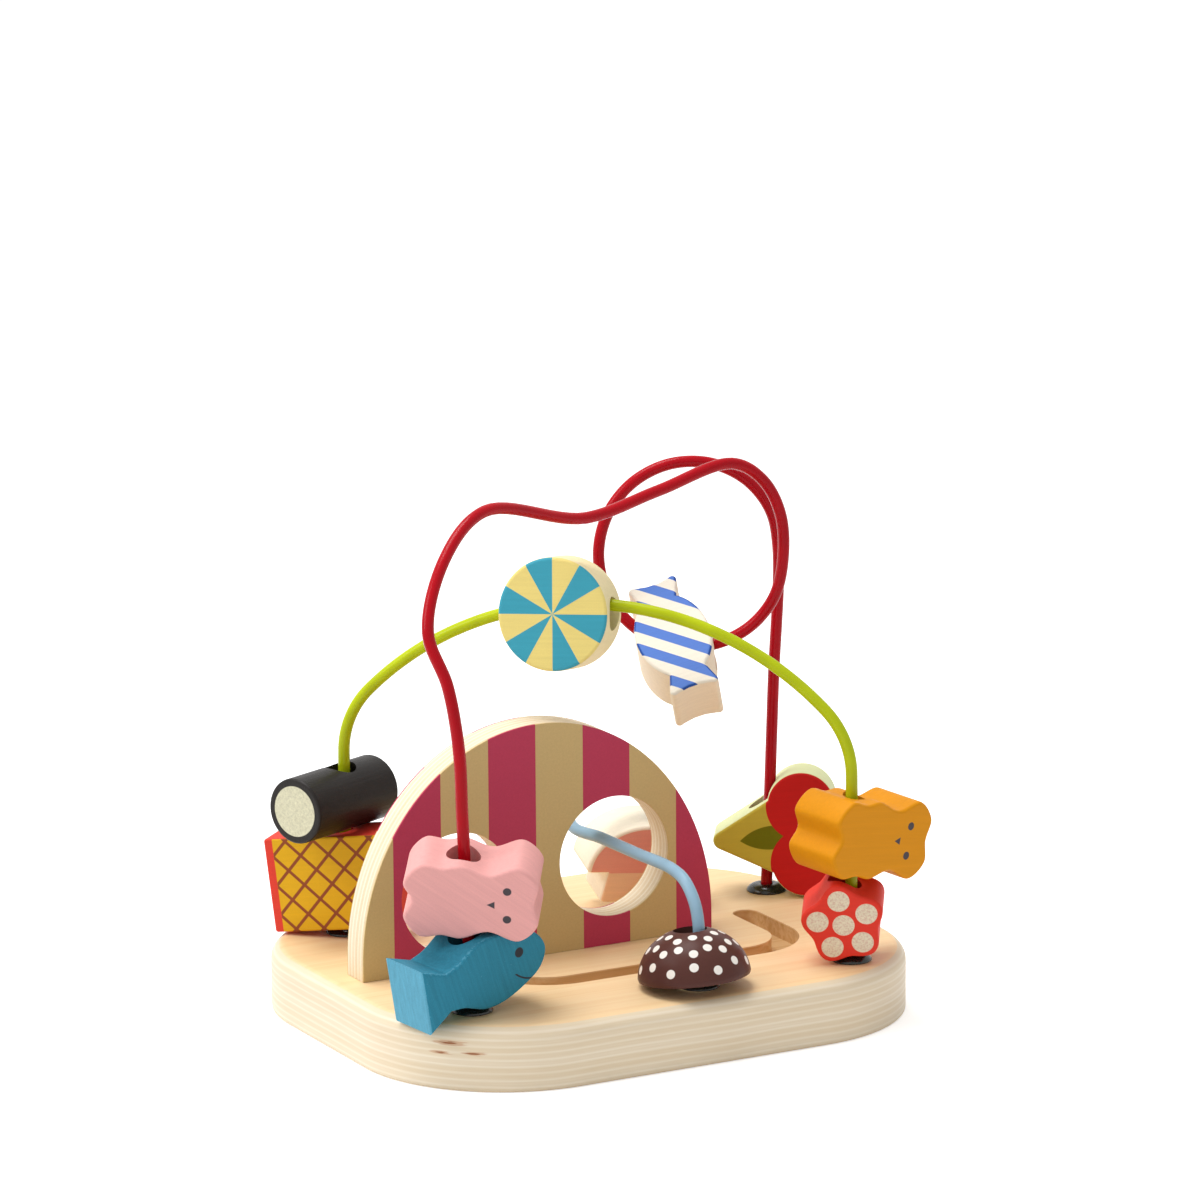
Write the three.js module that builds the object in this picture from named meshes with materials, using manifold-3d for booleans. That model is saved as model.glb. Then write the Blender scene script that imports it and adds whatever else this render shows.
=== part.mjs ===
// Wooden bead frame: a plywood board with a finger groove, a striped arch with two holes,
// three bent wires and eleven sweet-shaped beads that slide and spin on them.
// Millimetres, +Z up. The origin is the middle of the board's underside, X runs along the front edge.
import * as THREE from 'three';
import { mergeVertices } from 'three/addons/utils/BufferGeometryUtils.js';
import Module from 'manifold-3d';

// Board
const BOARD_LENGTH = 200;
const BOARD_DEPTH = 165;
const BOARD_THICK = 22;
const BOARD_CORNER = 53;
const BOARD_TOP_ROUND = 5;
const BOARD_FOOT_ROUND = 1;

// Arch, with its left end set in from the board's left edge
const ARCH_HALF_WIDTH = 66.8;
const ARCH_RISE = 74.8;
const ARCH_STILT = 6;
const ARCH_THICK = 12;
const ARCH_EDGE_ROUND = 1.6;
const ARCH_LEFT_INSET = 11.3;
const ARCH_FRONT_INSET = 76;
const HOLE_RADIUS = 21;
const RIGHT_HOLE_ASIDE = 28.9;
const LEFT_HOLE_ASIDE = 31.1;
const RIGHT_HOLE_HEIGHT = 31;
const LEFT_HOLE_HEIGHT = 26;

// Finger groove in front of the arch and round its right end
const GROOVE_WIDTH = 9.5;
const GROOVE_DEPTH = 6;
const GROOVE_TURN = 20;
const GROOVE_FRONT_GAP = 30.5;
const GROOVE_RIGHT_GAP = 20.1;
const GROOVE_END_PAST_FACE = 11;
const GROOVE_LEFT_FROM_HOLE = 8;
const GROOVE_STOP_GAP = 4;

// Wires and what holds them in the board
const WIRE = 4.1;
const WIRE_SIDES = 8;
const WIRE_END_HEIGHT = 1.5;
const FERRULE_DIAMETER = 14;
const FERRULE_HEIGHT = 2.6;
const FERRULE_RIM = 0.4;
const FERRULE_FLAT = 6;
const FERRULE_SHOULDER = 11.6;
const FERRULE_SEAT = 2.4;
const RETAINER_DIAMETER = 12;
const RETAINER_THICK = 1.2;
const RETAINER_DISH = 0.8;
const POCKET_DIAMETER = 14;
const POCKET_DEPTH = 5;

// Feet of the wires, as insets from the board's edges
const RED_FRONT_LEFT = 28;
const RED_FRONT_INSET = 29.5;
const RED_BACK_RIGHT = 14;
const RED_BACK_INSET = 55.5;
const LIME_BACK_LEFT = 34;
const LIME_BACK_INSET = 30.5;
const LIME_FRONT_RIGHT = 33;
const LIME_FRONT_INSET = 19.5;
const GREY_FRONT_INSET = 17.5;
const GREY_BACK_INSET = 51;
const GREY_BACK_FROM_RED = 42;

// Red wire: a crest, a dip and one full turn of a loop
const RED_POST = 88;
const RED_POST_LEAN_X = -3;
const RED_POST_LEAN_Y = 1.5;
const RED_CREST = 159;
const RED_BULGE = 8;
const RED_CREST_BACK = 34;
const LOOP_RADIUS = 31.4;
const LOOP_HEIGHT = 124;
const LOOP_PITCH = 24;
const LOOP_FACING = -26;
const LOOP_LEAN = 4;
const LOOP_POINTS_PER_TURN = 14;

// Lime wire: a three-centred arch between two posts
const LIME_POST = 64;
const LIME_RISE = 55.5;
const LIME_HAUNCH = 32;

// Grey wire: up, back through the right hole, and down behind the arch
const GREY_FRONT_BEND = 18;
const GREY_BACK_BENDS = 0.28;
const GREY_DRIFT = 2;
const GREY_ABOVE_HOLE = 5;
const GREY_HUMP = 12;

// Screws that hold the arch from below
const SCREW_SHANK = 4;
const SCREW_HEAD = 8;
const SCREW_HEAD_DEPTH = 3;
const SCREW_SUNK = 1;
const SCREW_BITE = 13;
const SCREW_POINT = 4;
const SCREW_END_SPACING = 116;

// Beads
const BORE = 11.5;
const BEAD_THICK = 20;
const BEAD_EDGE = 1.2;
const BEAR_LENGTH = 44.2;
const BEAR_HALF_HEIGHT = 13.3;
const BEAR_THICK = 22.5;
const BEAR_BORE_ASIDE = 1.2;
const BEAR_ON_FISH = 1;
const BEAR_ON_RASPBERRY = 1.5;
const FISH_LENGTH = 52;
const FISH_NOSE = 24.7;
const FISH_SINK = 0.7;
const FISH_HALF_HEIGHT = 12.3;
const TAIL_HALF_HEIGHT = 11.5;
const WAFFLE_WIDTH = 47;
const WAFFLE_HEIGHT = 33;
const ROLL_DIAMETER = 22.6;
const ROLL_LENGTH = 42;
const ROLL_BORE_SHIFT = 3;
const RASPBERRY_RADIUS = 13.1;
const RASPBERRY_LOBE = 1.3;
const RASPBERRY_LOBES = 5;
const RASPBERRY_TURN = 29;
const DOME_RADIUS = 19;
const DOME_HEIGHT = 17;
const DISC_DIAMETER = 38.6;
const DISC_THICK = 17;
const CHERRY_RADIUS = 11.9;
const CHERRY_SPREAD = 10.1;
const CHERRY_REACH = 13;
const STALK_REACH = 15.3;
const STALK_ROUND = 3.4;
const CANDY_WIDTH = 26;
const CANDY_BODY = 36;
const CANDY_LENGTH = 48.6;
const CANDY_NECK = 13;
const CANDY_WING = 18.2;
const CANDY_NOTCH = 2.2;
const CANDY_BORE_RISE = 2.8;
const MUSHROOM_CAP = 42;
const MUSHROOM_CAP_HEIGHT = 17.5;
const MUSHROOM_BORE_ASIDE = 7;
const STEM_HEIGHT = 11.2;
const STEM_TOP = 27;
const STEM_FOOT = 31;

// How the beads lie. facing is the azimuth that a bead's face looks to (0 is the front), lean tips its top
// towards that side, roll turns it anticlockwise in its own plane, and aside shifts it along its face.
const LIE = {
  fish: { facing: 11, lean: 3, roll: 12, aside: -0.8 },
  pinkBear: { facing: -33, lean: 12, roll: -2, aside: -2.4 },
  raspberry: { facing: -33, lean: 7, roll: 0, aside: -2.2 },
  yellowBear: { facing: 13, lean: 3, roll: -10, aside: 1 },
  waffle: { facing: -48, lean: 0, roll: 7, aside: -1 },
  liquorice: { facing: 24, lean: 0, roll: 0, aside: -2.5 },
  dome: { facing: -28, lean: -5, roll: 5, aside: -2.4 },
  cherries: { facing: -32, lean: -4, roll: 5, aside: 0.3 },
  mushroom: { facing: -13, lean: 9, roll: -4, aside: 0.8 },
  disc: { twist: -5, lean: -10, roll: 3 },
  candy: { facing: -38, lean: -48, roll: 25 },
};
const DISC_BEFORE_CROWN = 12;
const CANDY_LOOP_ANGLE = -101;
const CANDY_RIDE = 0.1;

// Clearances
const FIT = 0.3;
const SEAT = 0.1;
const OVERCUT = 5;

const rad = THREE.MathUtils.degToRad;
const wasm = await Module();
wasm.setup();
const frame = new THREE.Group();
const boardTop = BOARD_THICK;

// Booleans
function solid(geometry) {
  const bare = geometry.clone();
  bare.deleteAttribute('normal');
  bare.deleteAttribute('uv');
  const merged = mergeVertices(bare, 1e-4);
  const vertProperties = new Float32Array(merged.attributes.position.array);
  const triVerts = new Uint32Array(merged.index.array);
  return new wasm.Manifold(new wasm.Mesh({ numProp: 3, vertProperties, triVerts }));
}

function geometryOf(manifold) {
  const mesh = manifold.getMesh();
  const geometry = new THREE.BufferGeometry();
  geometry.setAttribute('position', new THREE.BufferAttribute(new Float32Array(mesh.vertProperties), 3));
  geometry.setIndex(new THREE.BufferAttribute(new Uint32Array(mesh.triVerts), 1));
  geometry.computeVertexNormals();
  return geometry;
}

function cut(geometry, ...tools) {
  let body = solid(geometry);
  for (const tool of tools) {
    body = body.subtract(solid(tool));
  }
  return geometryOf(body);
}

// Forms shared by several pieces
function turned(profile, segments) {
  const points = profile.map(([radius, height]) => new THREE.Vector2(radius, height));
  return new THREE.LatheGeometry(points, segments).rotateX(Math.PI / 2);
}

function pin(x, y, bottom, top, diameter, segments = 20) {
  const geometry = new THREE.CylinderGeometry(diameter / 2, diameter / 2, top - bottom, segments);
  return geometry.rotateX(Math.PI / 2).translate(x, y, (top + bottom) / 2);
}

function slab(outline, thick, edge, curveSegments = 12, bevelSegments = 1) {
  const geometry = new THREE.ExtrudeGeometry(outline, {
    depth: thick - 2 * edge,
    bevelThickness: edge,
    bevelSize: edge,
    bevelOffset: -edge,
    bevelSegments,
    curveSegments,
  });
  return geometry.translate(0, 0, edge - thick / 2);
}

function closedSpline(points, divisions) {
  const knots = points.map(([x, y]) => new THREE.Vector3(x, y, 0));
  const curve = new THREE.CatmullRomCurve3(knots, true, 'centripetal');
  const outline = curve.getPoints(divisions).slice(0, -1);
  return new THREE.Shape(outline.map((point) => new THREE.Vector2(point.x, point.y)));
}

function mirrored(half) {
  const inner = half.slice(1, -1).reverse();
  return [...half, ...inner.map(([x, y]) => [x, -y])];
}

function wireAlong(curve, steps) {
  const section = new THREE.Shape();
  section.absarc(0, 0, WIRE / 2, 0, 2 * Math.PI, false);
  const options = { steps, extrudePath: curve, curveSegments: WIRE_SIDES / 2 };
  return new THREE.ExtrudeGeometry(section, options);
}

function add(name, geometry, color, roughness, metalness = 0) {
  const material = new THREE.MeshStandardMaterial({ color, roughness, metalness });
  const mesh = new THREE.Mesh(geometry, material);
  mesh.name = name;
  frame.add(mesh);
  return mesh;
}

// A bead's face lies in its own XY plane and is stood upright before it leans
function turnOf({ facing, lean, roll }) {
  const stood = new THREE.Quaternion().setFromEuler(new THREE.Euler(rad(90 + lean), 0, rad(roll)));
  const spun = new THREE.Quaternion().setFromAxisAngle(new THREE.Vector3(0, 0, 1), rad(facing));
  return spun.multiply(stood);
}

function addBead(name, geometry, color, place, lie) {
  const bead = add(name, geometry, color, 0.45);
  bead.position.copy(place);
  bead.quaternion.copy(turnOf(lie));
}

// Places
const arch = {
  x: -BOARD_LENGTH / 2 + ARCH_LEFT_INSET + ARCH_HALF_WIDTH,
  front: -BOARD_DEPTH / 2 + ARCH_FRONT_INSET,
};
arch.middle = arch.front + ARCH_THICK / 2;
arch.back = arch.front + ARCH_THICK;
arch.right = arch.x + ARCH_HALF_WIDTH;
const rightHole = { x: arch.x + RIGHT_HOLE_ASIDE, height: RIGHT_HOLE_HEIGHT };
const leftHole = { x: arch.x - LEFT_HOLE_ASIDE, height: LEFT_HOLE_HEIGHT };
const feet = {
  redFront: { x: -BOARD_LENGTH / 2 + RED_FRONT_LEFT, y: -BOARD_DEPTH / 2 + RED_FRONT_INSET },
  redBack: { x: BOARD_LENGTH / 2 - RED_BACK_RIGHT, y: BOARD_DEPTH / 2 - RED_BACK_INSET },
  limeFront: { x: BOARD_LENGTH / 2 - LIME_FRONT_RIGHT, y: -BOARD_DEPTH / 2 + LIME_FRONT_INSET },
  limeBack: { x: -BOARD_LENGTH / 2 + LIME_BACK_LEFT, y: BOARD_DEPTH / 2 - LIME_BACK_INSET },
  greyFront: { x: rightHole.x, y: -BOARD_DEPTH / 2 + GREY_FRONT_INSET },
  };
feet.greyBack = { x: feet.redBack.x - GREY_BACK_FROM_RED, y: BOARD_DEPTH / 2 - GREY_BACK_INSET };
const screwPlaces = [-SCREW_END_SPACING / 2, 0, SCREW_END_SPACING / 2].map((shift) => arch.x + shift);

// Board: the round top edge and the small foot edge come from two slabs that are intersected
function roundedRectangle() {
  const x = BOARD_LENGTH / 2 - BOARD_CORNER;
  const y = BOARD_DEPTH / 2 - BOARD_CORNER;
  const outline = new THREE.Shape();
  outline.absarc(x, -y, BOARD_CORNER, -Math.PI / 2, 0, false);
  outline.absarc(x, y, BOARD_CORNER, 0, Math.PI / 2, false);
  outline.absarc(-x, y, BOARD_CORNER, Math.PI / 2, Math.PI, false);
  outline.absarc(-x, -y, BOARD_CORNER, Math.PI, 1.5 * Math.PI, false);
  return outline;
}

function grooveTool() {
  const half = GROOVE_WIDTH / 2;
  const left = leftHole.x + GROOVE_LEFT_FROM_HOLE;
  const right = arch.right + GROOVE_RIGHT_GAP;
  const near = arch.front - GROOVE_FRONT_GAP;
  const turnY = near + GROOVE_TURN;
  const leftEnd = arch.front - GROOVE_STOP_GAP - half;
  const rightEnd = arch.front + GROOVE_END_PAST_FACE;
  const outline = new THREE.Shape();
  outline.moveTo(left - half, leftEnd);
  outline.absarc(left + GROOVE_TURN, turnY, GROOVE_TURN + half, Math.PI, 1.5 * Math.PI, false);
  outline.absarc(right - GROOVE_TURN, turnY, GROOVE_TURN + half, 1.5 * Math.PI, 2 * Math.PI, false);
  outline.absarc(right, rightEnd, half, 0, Math.PI, false);
  outline.absarc(right - GROOVE_TURN, turnY, GROOVE_TURN - half, 2 * Math.PI, 1.5 * Math.PI, true);
  outline.absarc(left + GROOVE_TURN, turnY, GROOVE_TURN - half, 1.5 * Math.PI, Math.PI, true);
  outline.absarc(left, leftEnd, half, 0, Math.PI, false);
  const options = { depth: GROOVE_DEPTH + OVERCUT, bevelEnabled: false, curveSegments: 5 };
  return new THREE.ExtrudeGeometry(outline, options).translate(0, 0, boardTop - GROOVE_DEPTH);
}

function screwProfile(grow) {
  const shank = SCREW_SHANK / 2 + grow;
  const head = SCREW_HEAD / 2 + grow;
  const tip = boardTop + SCREW_BITE + grow;
  const neck = SCREW_SUNK + SCREW_HEAD_DEPTH + grow;
  const base = grow ? -OVERCUT : SCREW_SUNK;
  const point = tip - SCREW_POINT;
  return [[0, base], [head, base], [head, SCREW_SUNK + grow], [shank, neck], [shank, point], [0, tip]];
}

function makeBoard() {
  const outline = roundedRectangle();
  const top = slab(outline, 2 * BOARD_THICK, BOARD_TOP_ROUND, 6, 3);
  const lower = slab(outline, 2 * BOARD_THICK, BOARD_FOOT_ROUND, 6, 1).translate(0, 0, BOARD_THICK);
  let board = solid(top).intersect(solid(lower)).subtract(solid(grooveTool()));
  for (const foot of Object.values(feet)) {
    board = board.subtract(solid(pin(foot.x, foot.y, -OVERCUT, boardTop + OVERCUT, WIRE + 2 * FIT, 12)));
    board = board.subtract(solid(pin(foot.x, foot.y, -OVERCUT, POCKET_DEPTH, POCKET_DIAMETER, 16)));
  }
  for (const x of screwPlaces) {
    board = board.subtract(solid(turned(screwProfile(FIT), 12).translate(x, arch.middle, 0)));
  }
  add('base_board', geometryOf(board), '#f0d09c', 0.5);
}

// Arch: the outline runs on below the board so that its foot can be sawn off square
function makeArch() {
  const outline = new THREE.Shape();
  outline.moveTo(-ARCH_HALF_WIDTH, -OVERCUT);
  outline.lineTo(ARCH_HALF_WIDTH, -OVERCUT);
  outline.absellipse(0, ARCH_STILT, ARCH_HALF_WIDTH, ARCH_RISE, 0, Math.PI, false);
  for (const hole of [leftHole, rightHole]) {
    const round = new THREE.Path();
    round.absarc(hole.x - arch.x, hole.height, HOLE_RADIUS, 0, 2 * Math.PI, true);
    outline.holes.push(round);
  }
  const panel = slab(outline, ARCH_THICK, ARCH_EDGE_ROUND, 18, 1);
  panel.rotateX(Math.PI / 2).translate(arch.x, arch.middle, boardTop);
  const below = new THREE.BoxGeometry(3 * ARCH_HALF_WIDTH, 2 * ARCH_THICK, 2 * OVERCUT);
  below.translate(arch.x, arch.middle, boardTop + SEAT - OVERCUT);
  const pilots = screwPlaces.map((x) => turned(screwProfile(FIT), 12).translate(x, arch.middle, 0));
  add('arch_panel', cut(panel, below, ...pilots), '#c4506a', 0.5);
}

function makeScrews() {
  ['left', 'middle', 'right'].forEach((side, index) => {
    const screw = turned(screwProfile(0), 12).translate(screwPlaces[index], arch.middle, 0);
    add(`arch_screw_${side}`, screw, '#b9bcc0', 0.35, 1);
  });
}

// Wires
function above(place, height) {
  return new THREE.Vector3(place.x, place.y, boardTop + height);
}

function postOf(place, height) {
  return [WIRE_END_HEIGHT - boardTop, 0, height / 2, height].map((level) => above(place, level));
}

// A point of the red wire's loop, seen from its facing side: it starts at the right at 0 degrees, turns
// clockwise to -360 degrees and ends on top of the back post
function loopPoint(degrees) {
  const facing = rad(LOOP_FACING);
  const turn = rad(degrees);
  const outwards = LOOP_LEAN + LOOP_RADIUS * (Math.cos(turn) - 1);
  const forward = LOOP_PITCH * (degrees + 360) / 360;
  return new THREE.Vector3(
    feet.redBack.x + outwards * Math.cos(facing) + forward * Math.sin(facing),
    feet.redBack.y + outwards * Math.sin(facing) - forward * Math.cos(facing),
    boardTop + LOOP_HEIGHT + LOOP_RADIUS * Math.sin(turn),
  );
}

function redRoute() {
  const start = loopPoint(0);
  const end = loopPoint(-360);
  const foot = above(feet.redBack, 0);
  const post = [0.25, 0.5, 0.75, 1].map((share) => {
    const { x, y } = feet.redFront;
    return above({ x: x + share * RED_POST_LEAN_X, y: y + share * RED_POST_LEAN_Y }, share * RED_POST);
  });
  const shoulderShares = [[-0.62, 0.15, 0.686], [-1, 0.38, 0.792], [0.5, 0.7, 0.925], [3, 1, 1]];
  const shoulder = shoulderShares.map(([aside, back, up]) => {
    const x = feet.redFront.x + aside * RED_BULGE;
    const y = feet.redFront.y + back * RED_CREST_BACK;
    return above({ x, y }, up * RED_CREST);
  });
  const dipShares = [
    [-2.58, -0.25, 0.8],
    [-1.59, -0.06, 0.955],
    [-0.64, 0, 1.146],
    [-0.255, 0, 0.924],
    [-0.03, 0, 0.51],
  ];
  const dip = dipShares.map((share) => new THREE.Vector3(...share).multiplyScalar(LOOP_RADIUS).add(start));
  const loop = [];
  for (let point = 0; point < LOOP_POINTS_PER_TURN; point += 1) {
    loop.push(loopPoint(-360 * point / LOOP_POINTS_PER_TURN));
  }
  const fall = [0, 0.4, 0.8].map((share) => new THREE.Vector3().lerpVectors(end, foot, share));
  const rootOf = (place) => [above(place, WIRE_END_HEIGHT - boardTop), above(place, 0)];
  const route = [
    ...rootOf(feet.redFront),
    ...post,
    ...shoulder,
    ...dip,
    ...loop,
    ...fall,
    ...rootOf(feet.redBack).reverse(),
  ];
  return new THREE.CatmullRomCurve3(route, false, 'centripetal');
}

// The lime wire's outline in its own upright plane: along the line between its feet, and up
const limeRun = Math.hypot(feet.limeFront.x - feet.limeBack.x, feet.limeFront.y - feet.limeBack.y);
const limeHalf = limeRun / 2;
const limeAzimuth = Math.atan2(feet.limeFront.y - feet.limeBack.y, feet.limeFront.x - feet.limeBack.x);
const limeInset = limeHalf - LIME_HAUNCH;
const limeCrown = (limeInset ** 2 + LIME_RISE ** 2 - LIME_HAUNCH ** 2) / (2 * (LIME_RISE - LIME_HAUNCH));

function limeOutline() {
  const crownBelow = limeCrown - LIME_RISE;
  const meet = Math.atan2(crownBelow, limeInset);
  const outline = new THREE.Path();
  outline.moveTo(0, WIRE_END_HEIGHT - boardTop);
  outline.lineTo(0, LIME_POST);
  outline.absarc(LIME_HAUNCH, LIME_POST, LIME_HAUNCH, Math.PI, Math.PI - meet, true);
  outline.absarc(limeHalf, LIME_POST - crownBelow, limeCrown, Math.PI - meet, meet, true);
  outline.absarc(limeRun - LIME_HAUNCH, LIME_POST, LIME_HAUNCH, meet, 0, true);
  outline.lineTo(limeRun, WIRE_END_HEIGHT - boardTop);
  return outline;
}

function limePoint(along, height) {
  const x = feet.limeBack.x + along * Math.cos(limeAzimuth);
  const y = feet.limeBack.y + along * Math.sin(limeAzimuth);
  return above({ x, y }, height);
}

function limeRoute() {
  const points = limeOutline().getSpacedPoints(60).map((point) => limePoint(point.x, point.y));
  return new THREE.CatmullRomCurve3(points, false, 'centripetal');
}

function greyRoute() {
  const level = RIGHT_HOLE_HEIGHT + GREY_ABOVE_HOLE;
  const { greyFront, greyBack } = feet;
  const bend = (angle) => {
    const back = GREY_FRONT_BEND * (1 - Math.cos(rad(angle)));
    const up = GREY_FRONT_BEND * Math.sin(rad(angle));
    return above({ x: greyFront.x, y: greyFront.y + back }, level - GREY_FRONT_BEND + up);
  };
  const radius = GREY_BACK_BENDS * (greyBack.x - rightHole.x + GREY_DRIFT);
  const runEnd = above({ x: rightHole.x - GREY_DRIFT, y: greyBack.y - radius }, level);
  const turn = (angle) => {
    const right = radius * (1 - Math.cos(rad(angle)));
    const back = radius * Math.sin(rad(angle));
    return new THREE.Vector3(right, back, GREY_HUMP * angle / 90).add(runEnd);
  };
  const drop = (angle) => {
    const left = radius * (1 - Math.cos(rad(angle)));
    const up = radius * Math.sin(rad(angle));
    return above({ x: greyBack.x - left, y: greyBack.y }, level + GREY_HUMP - radius + up);
  };
  const points = [
    ...postOf(greyFront, level - GREY_FRONT_BEND),
    bend(30),
    bend(60),
    bend(90),
    new THREE.Vector3().lerpVectors(bend(90), runEnd, 0.35),
    new THREE.Vector3().lerpVectors(bend(90), runEnd, 0.7),
    runEnd,
    turn(45),
    turn(90),
    drop(90),
    drop(60),
    drop(30),
    ...postOf(greyBack, level + GREY_HUMP - radius).reverse(),
  ];
  return new THREE.CatmullRomCurve3(points, false, 'centripetal');
}

function makeWires() {
  add('red_wire', wireAlong(redRoute(), 120), '#c4142c', 0.25);
  add('lime_wire', wireAlong(limeRoute(), 64), '#aebb14', 0.25);
  add('grey_wire', wireAlong(greyRoute(), 56), '#a9c3d6', 0.25);
}

function makeFastenings() {
  const bore = WIRE / 2 + FIT;
  const edge = FERRULE_DIAMETER / 2;
  const flat = FERRULE_FLAT / 2;
  const shoulder = new THREE.QuadraticBezierCurve(
    new THREE.Vector2(edge, FERRULE_RIM),
    new THREE.Vector2(FERRULE_SHOULDER / 2, FERRULE_HEIGHT),
    new THREE.Vector2(flat, FERRULE_HEIGHT),
  );
  const dome = shoulder.getPoints(3).map((point) => [point.x, point.y]);
  const ferrule = [[bore, 0], [edge, 0], ...dome, [bore, FERRULE_HEIGHT], [bore, 0]];
  const washer = RETAINER_DIAMETER / 2;
  const top = POCKET_DEPTH - SEAT;
  const retainer = [
    [bore, top - RETAINER_THICK - RETAINER_DISH],
    [washer, top - RETAINER_THICK],
    [washer, top],
    [bore, top - RETAINER_DISH],
    [bore, top - RETAINER_THICK - RETAINER_DISH],
  ];
  for (const [foot, { x, y }] of Object.entries(feet)) {
    const side = foot.replace(/[A-Z]/, (letter) => `_${letter.toLowerCase()}`);
    add(`${side}_ferrule`, turned(ferrule, 14).translate(x, y, boardTop + SEAT), '#14140f', 0.3);
    add(`${side}_retainer`, turned(retainer, 12).translate(x, y, 0), '#b9bcc0', 0.4, 1);
  }
}

// Bead forms, each about the middle of its bore
const UP = new THREE.Vector3(0, 1, 0);
const ACROSS = new THREE.Vector3(1, 0, 0);

function boreAlong(direction) {
  const tool = new THREE.CylinderGeometry(BORE / 2, BORE / 2, 3 * BEAD_THICK, 20);
  return tool.applyQuaternion(new THREE.Quaternion().setFromUnitVectors(UP, direction));
}

function bearGeometry() {
  const shares = [
    [-0.394, 0],
    [-0.454, 0.468],
    [-0.33, 0.978],
    [-0.166, 0.928],
    [-0.031, 1],
    [0.175, 0.784],
    [0.403, 1.007],
    [0.546, 0.561],
    [0.52, 0],
  ];
  const half = shares.map(([along, up]) => [along * BEAR_LENGTH, up * BEAR_HALF_HEIGHT]);
  const bear = slab(closedSpline(mirrored(half), 60), BEAR_THICK, BEAD_EDGE).translate(BEAR_BORE_ASIDE, 0, 0);
  return cut(bear, boreAlong(UP));
}

function fishGeometry() {
  const tail = -FISH_LENGTH / 2;
  const shares = [[-0.317, 0.553], [-0.212, 0.65], [-0.058, 0.951], [0.077, 1], [0.25, 0.84], [0.415, 0.5]];
  const back = shares.map(([along, up]) => new THREE.Vector2(along * FISH_LENGTH, up * FISH_HALF_HEIGHT));
  const belly = back.map(({ x, y }) => new THREE.Vector2(x, -y));
  const sides = [...belly, new THREE.Vector2(FISH_NOSE, 0), ...back.reverse()];
  const outline = new THREE.Shape();
  outline.moveTo(tail, -TAIL_HALF_HEIGHT);
  outline.lineTo(sides[0].x, sides[0].y);
  outline.splineThru(sides.slice(1));
  outline.lineTo(tail, TAIL_HALF_HEIGHT);
  return cut(slab(outline, BEAD_THICK, BEAD_EDGE, 3), boreAlong(UP));
}

function waffleGeometry() {
  const outline = new THREE.Shape();
  outline.moveTo(-WAFFLE_WIDTH / 2, -WAFFLE_HEIGHT / 2);
  outline.lineTo(WAFFLE_WIDTH / 2, -WAFFLE_HEIGHT / 2);
  outline.lineTo(WAFFLE_WIDTH / 2, WAFFLE_HEIGHT / 2);
  outline.lineTo(-WAFFLE_WIDTH / 2, WAFFLE_HEIGHT / 2);
  return cut(slab(outline, BEAD_THICK, BEAD_EDGE), boreAlong(UP));
}

function raspberryRadius(angle) {
  return RASPBERRY_RADIUS + RASPBERRY_LOBE * Math.cos(RASPBERRY_LOBES * (angle - rad(RASPBERRY_TURN)));
}

function raspberryGeometry() {
  const outline = [];
  const sides = 12 * RASPBERRY_LOBES;
  for (let side = 0; side < sides; side += 1) {
    const angle = 2 * Math.PI * side / sides;
    const radius = raspberryRadius(angle);
    outline.push(new THREE.Vector2(radius * Math.cos(angle), radius * Math.sin(angle)));
  }
  return cut(slab(new THREE.Shape(outline), BEAD_THICK, BEAD_EDGE), boreAlong(UP));
}

function cherriesGeometry() {
  const valley = Math.asin(CHERRY_SPREAD / CHERRY_RADIUS);
  const join = rad(166);
  const outline = new THREE.Shape();
  outline.absarc(-STALK_REACH, 0, STALK_ROUND, rad(120), rad(240), false);
  outline.absarc(CHERRY_REACH, -CHERRY_SPREAD, CHERRY_RADIUS, -join, valley, false);
  outline.absarc(CHERRY_REACH, CHERRY_SPREAD, CHERRY_RADIUS, -valley, join, false);
  return cut(slab(outline, BEAD_THICK, BEAD_EDGE, 8), boreAlong(UP));
}

function candyGeometry(wireDirection) {
  const half = CANDY_WIDTH / 2;
  const neck = CANDY_NECK / 2;
  const end = CANDY_LENGTH / 2;
  const wing = CANDY_WING / 2;
  const neckAngle = Math.acos(neck / half);
  const outline = new THREE.Shape();
  outline.absellipse(0, 0, half, CANDY_BODY / 2, -neckAngle, neckAngle, false);
  outline.lineTo(wing, end);
  outline.quadraticCurveTo(0, end - 2 * CANDY_NOTCH, -wing, end);
  outline.absellipse(0, 0, half, CANDY_BODY / 2, Math.PI - neckAngle, Math.PI + neckAngle, false);
  outline.lineTo(-wing, -end);
  outline.quadraticCurveTo(0, 2 * CANDY_NOTCH - end, wing, -end);
  const candy = slab(outline, BEAD_THICK, BEAD_EDGE, 6).translate(0, -CANDY_BORE_RISE, 0);
  return cut(candy, boreAlong(wireDirection));
}

function mushroomGeometry() {
  const bottom = -(STEM_HEIGHT + MUSHROOM_CAP_HEIGHT) / 2;
  const brim = bottom + STEM_HEIGHT;
  const outline = new THREE.Shape();
  outline.moveTo(-STEM_FOOT / 2, bottom);
  outline.lineTo(STEM_FOOT / 2, bottom);
  outline.lineTo(STEM_TOP / 2, brim);
  outline.absellipse(0, brim, MUSHROOM_CAP / 2, MUSHROOM_CAP_HEIGHT, 0, Math.PI, false);
  outline.lineTo(-STEM_TOP / 2, brim);
  const mushroom = slab(outline, BEAD_THICK, BEAD_EDGE).translate(-MUSHROOM_BORE_ASIDE, 0, 0);
  return cut(mushroom, boreAlong(UP));
}

function drum(radius, thick, segments) {
  const half = thick / 2;
  const inner = radius - BEAD_EDGE;
  const face = half - BEAD_EDGE;
  return new THREE.LatheGeometry(
    [[0, -half], [inner, -half], [radius, -face], [radius, face], [inner, half], [0, half]].map(([x, y]) => {
      return new THREE.Vector2(x, y);
    }),
    segments,
  );
}

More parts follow.
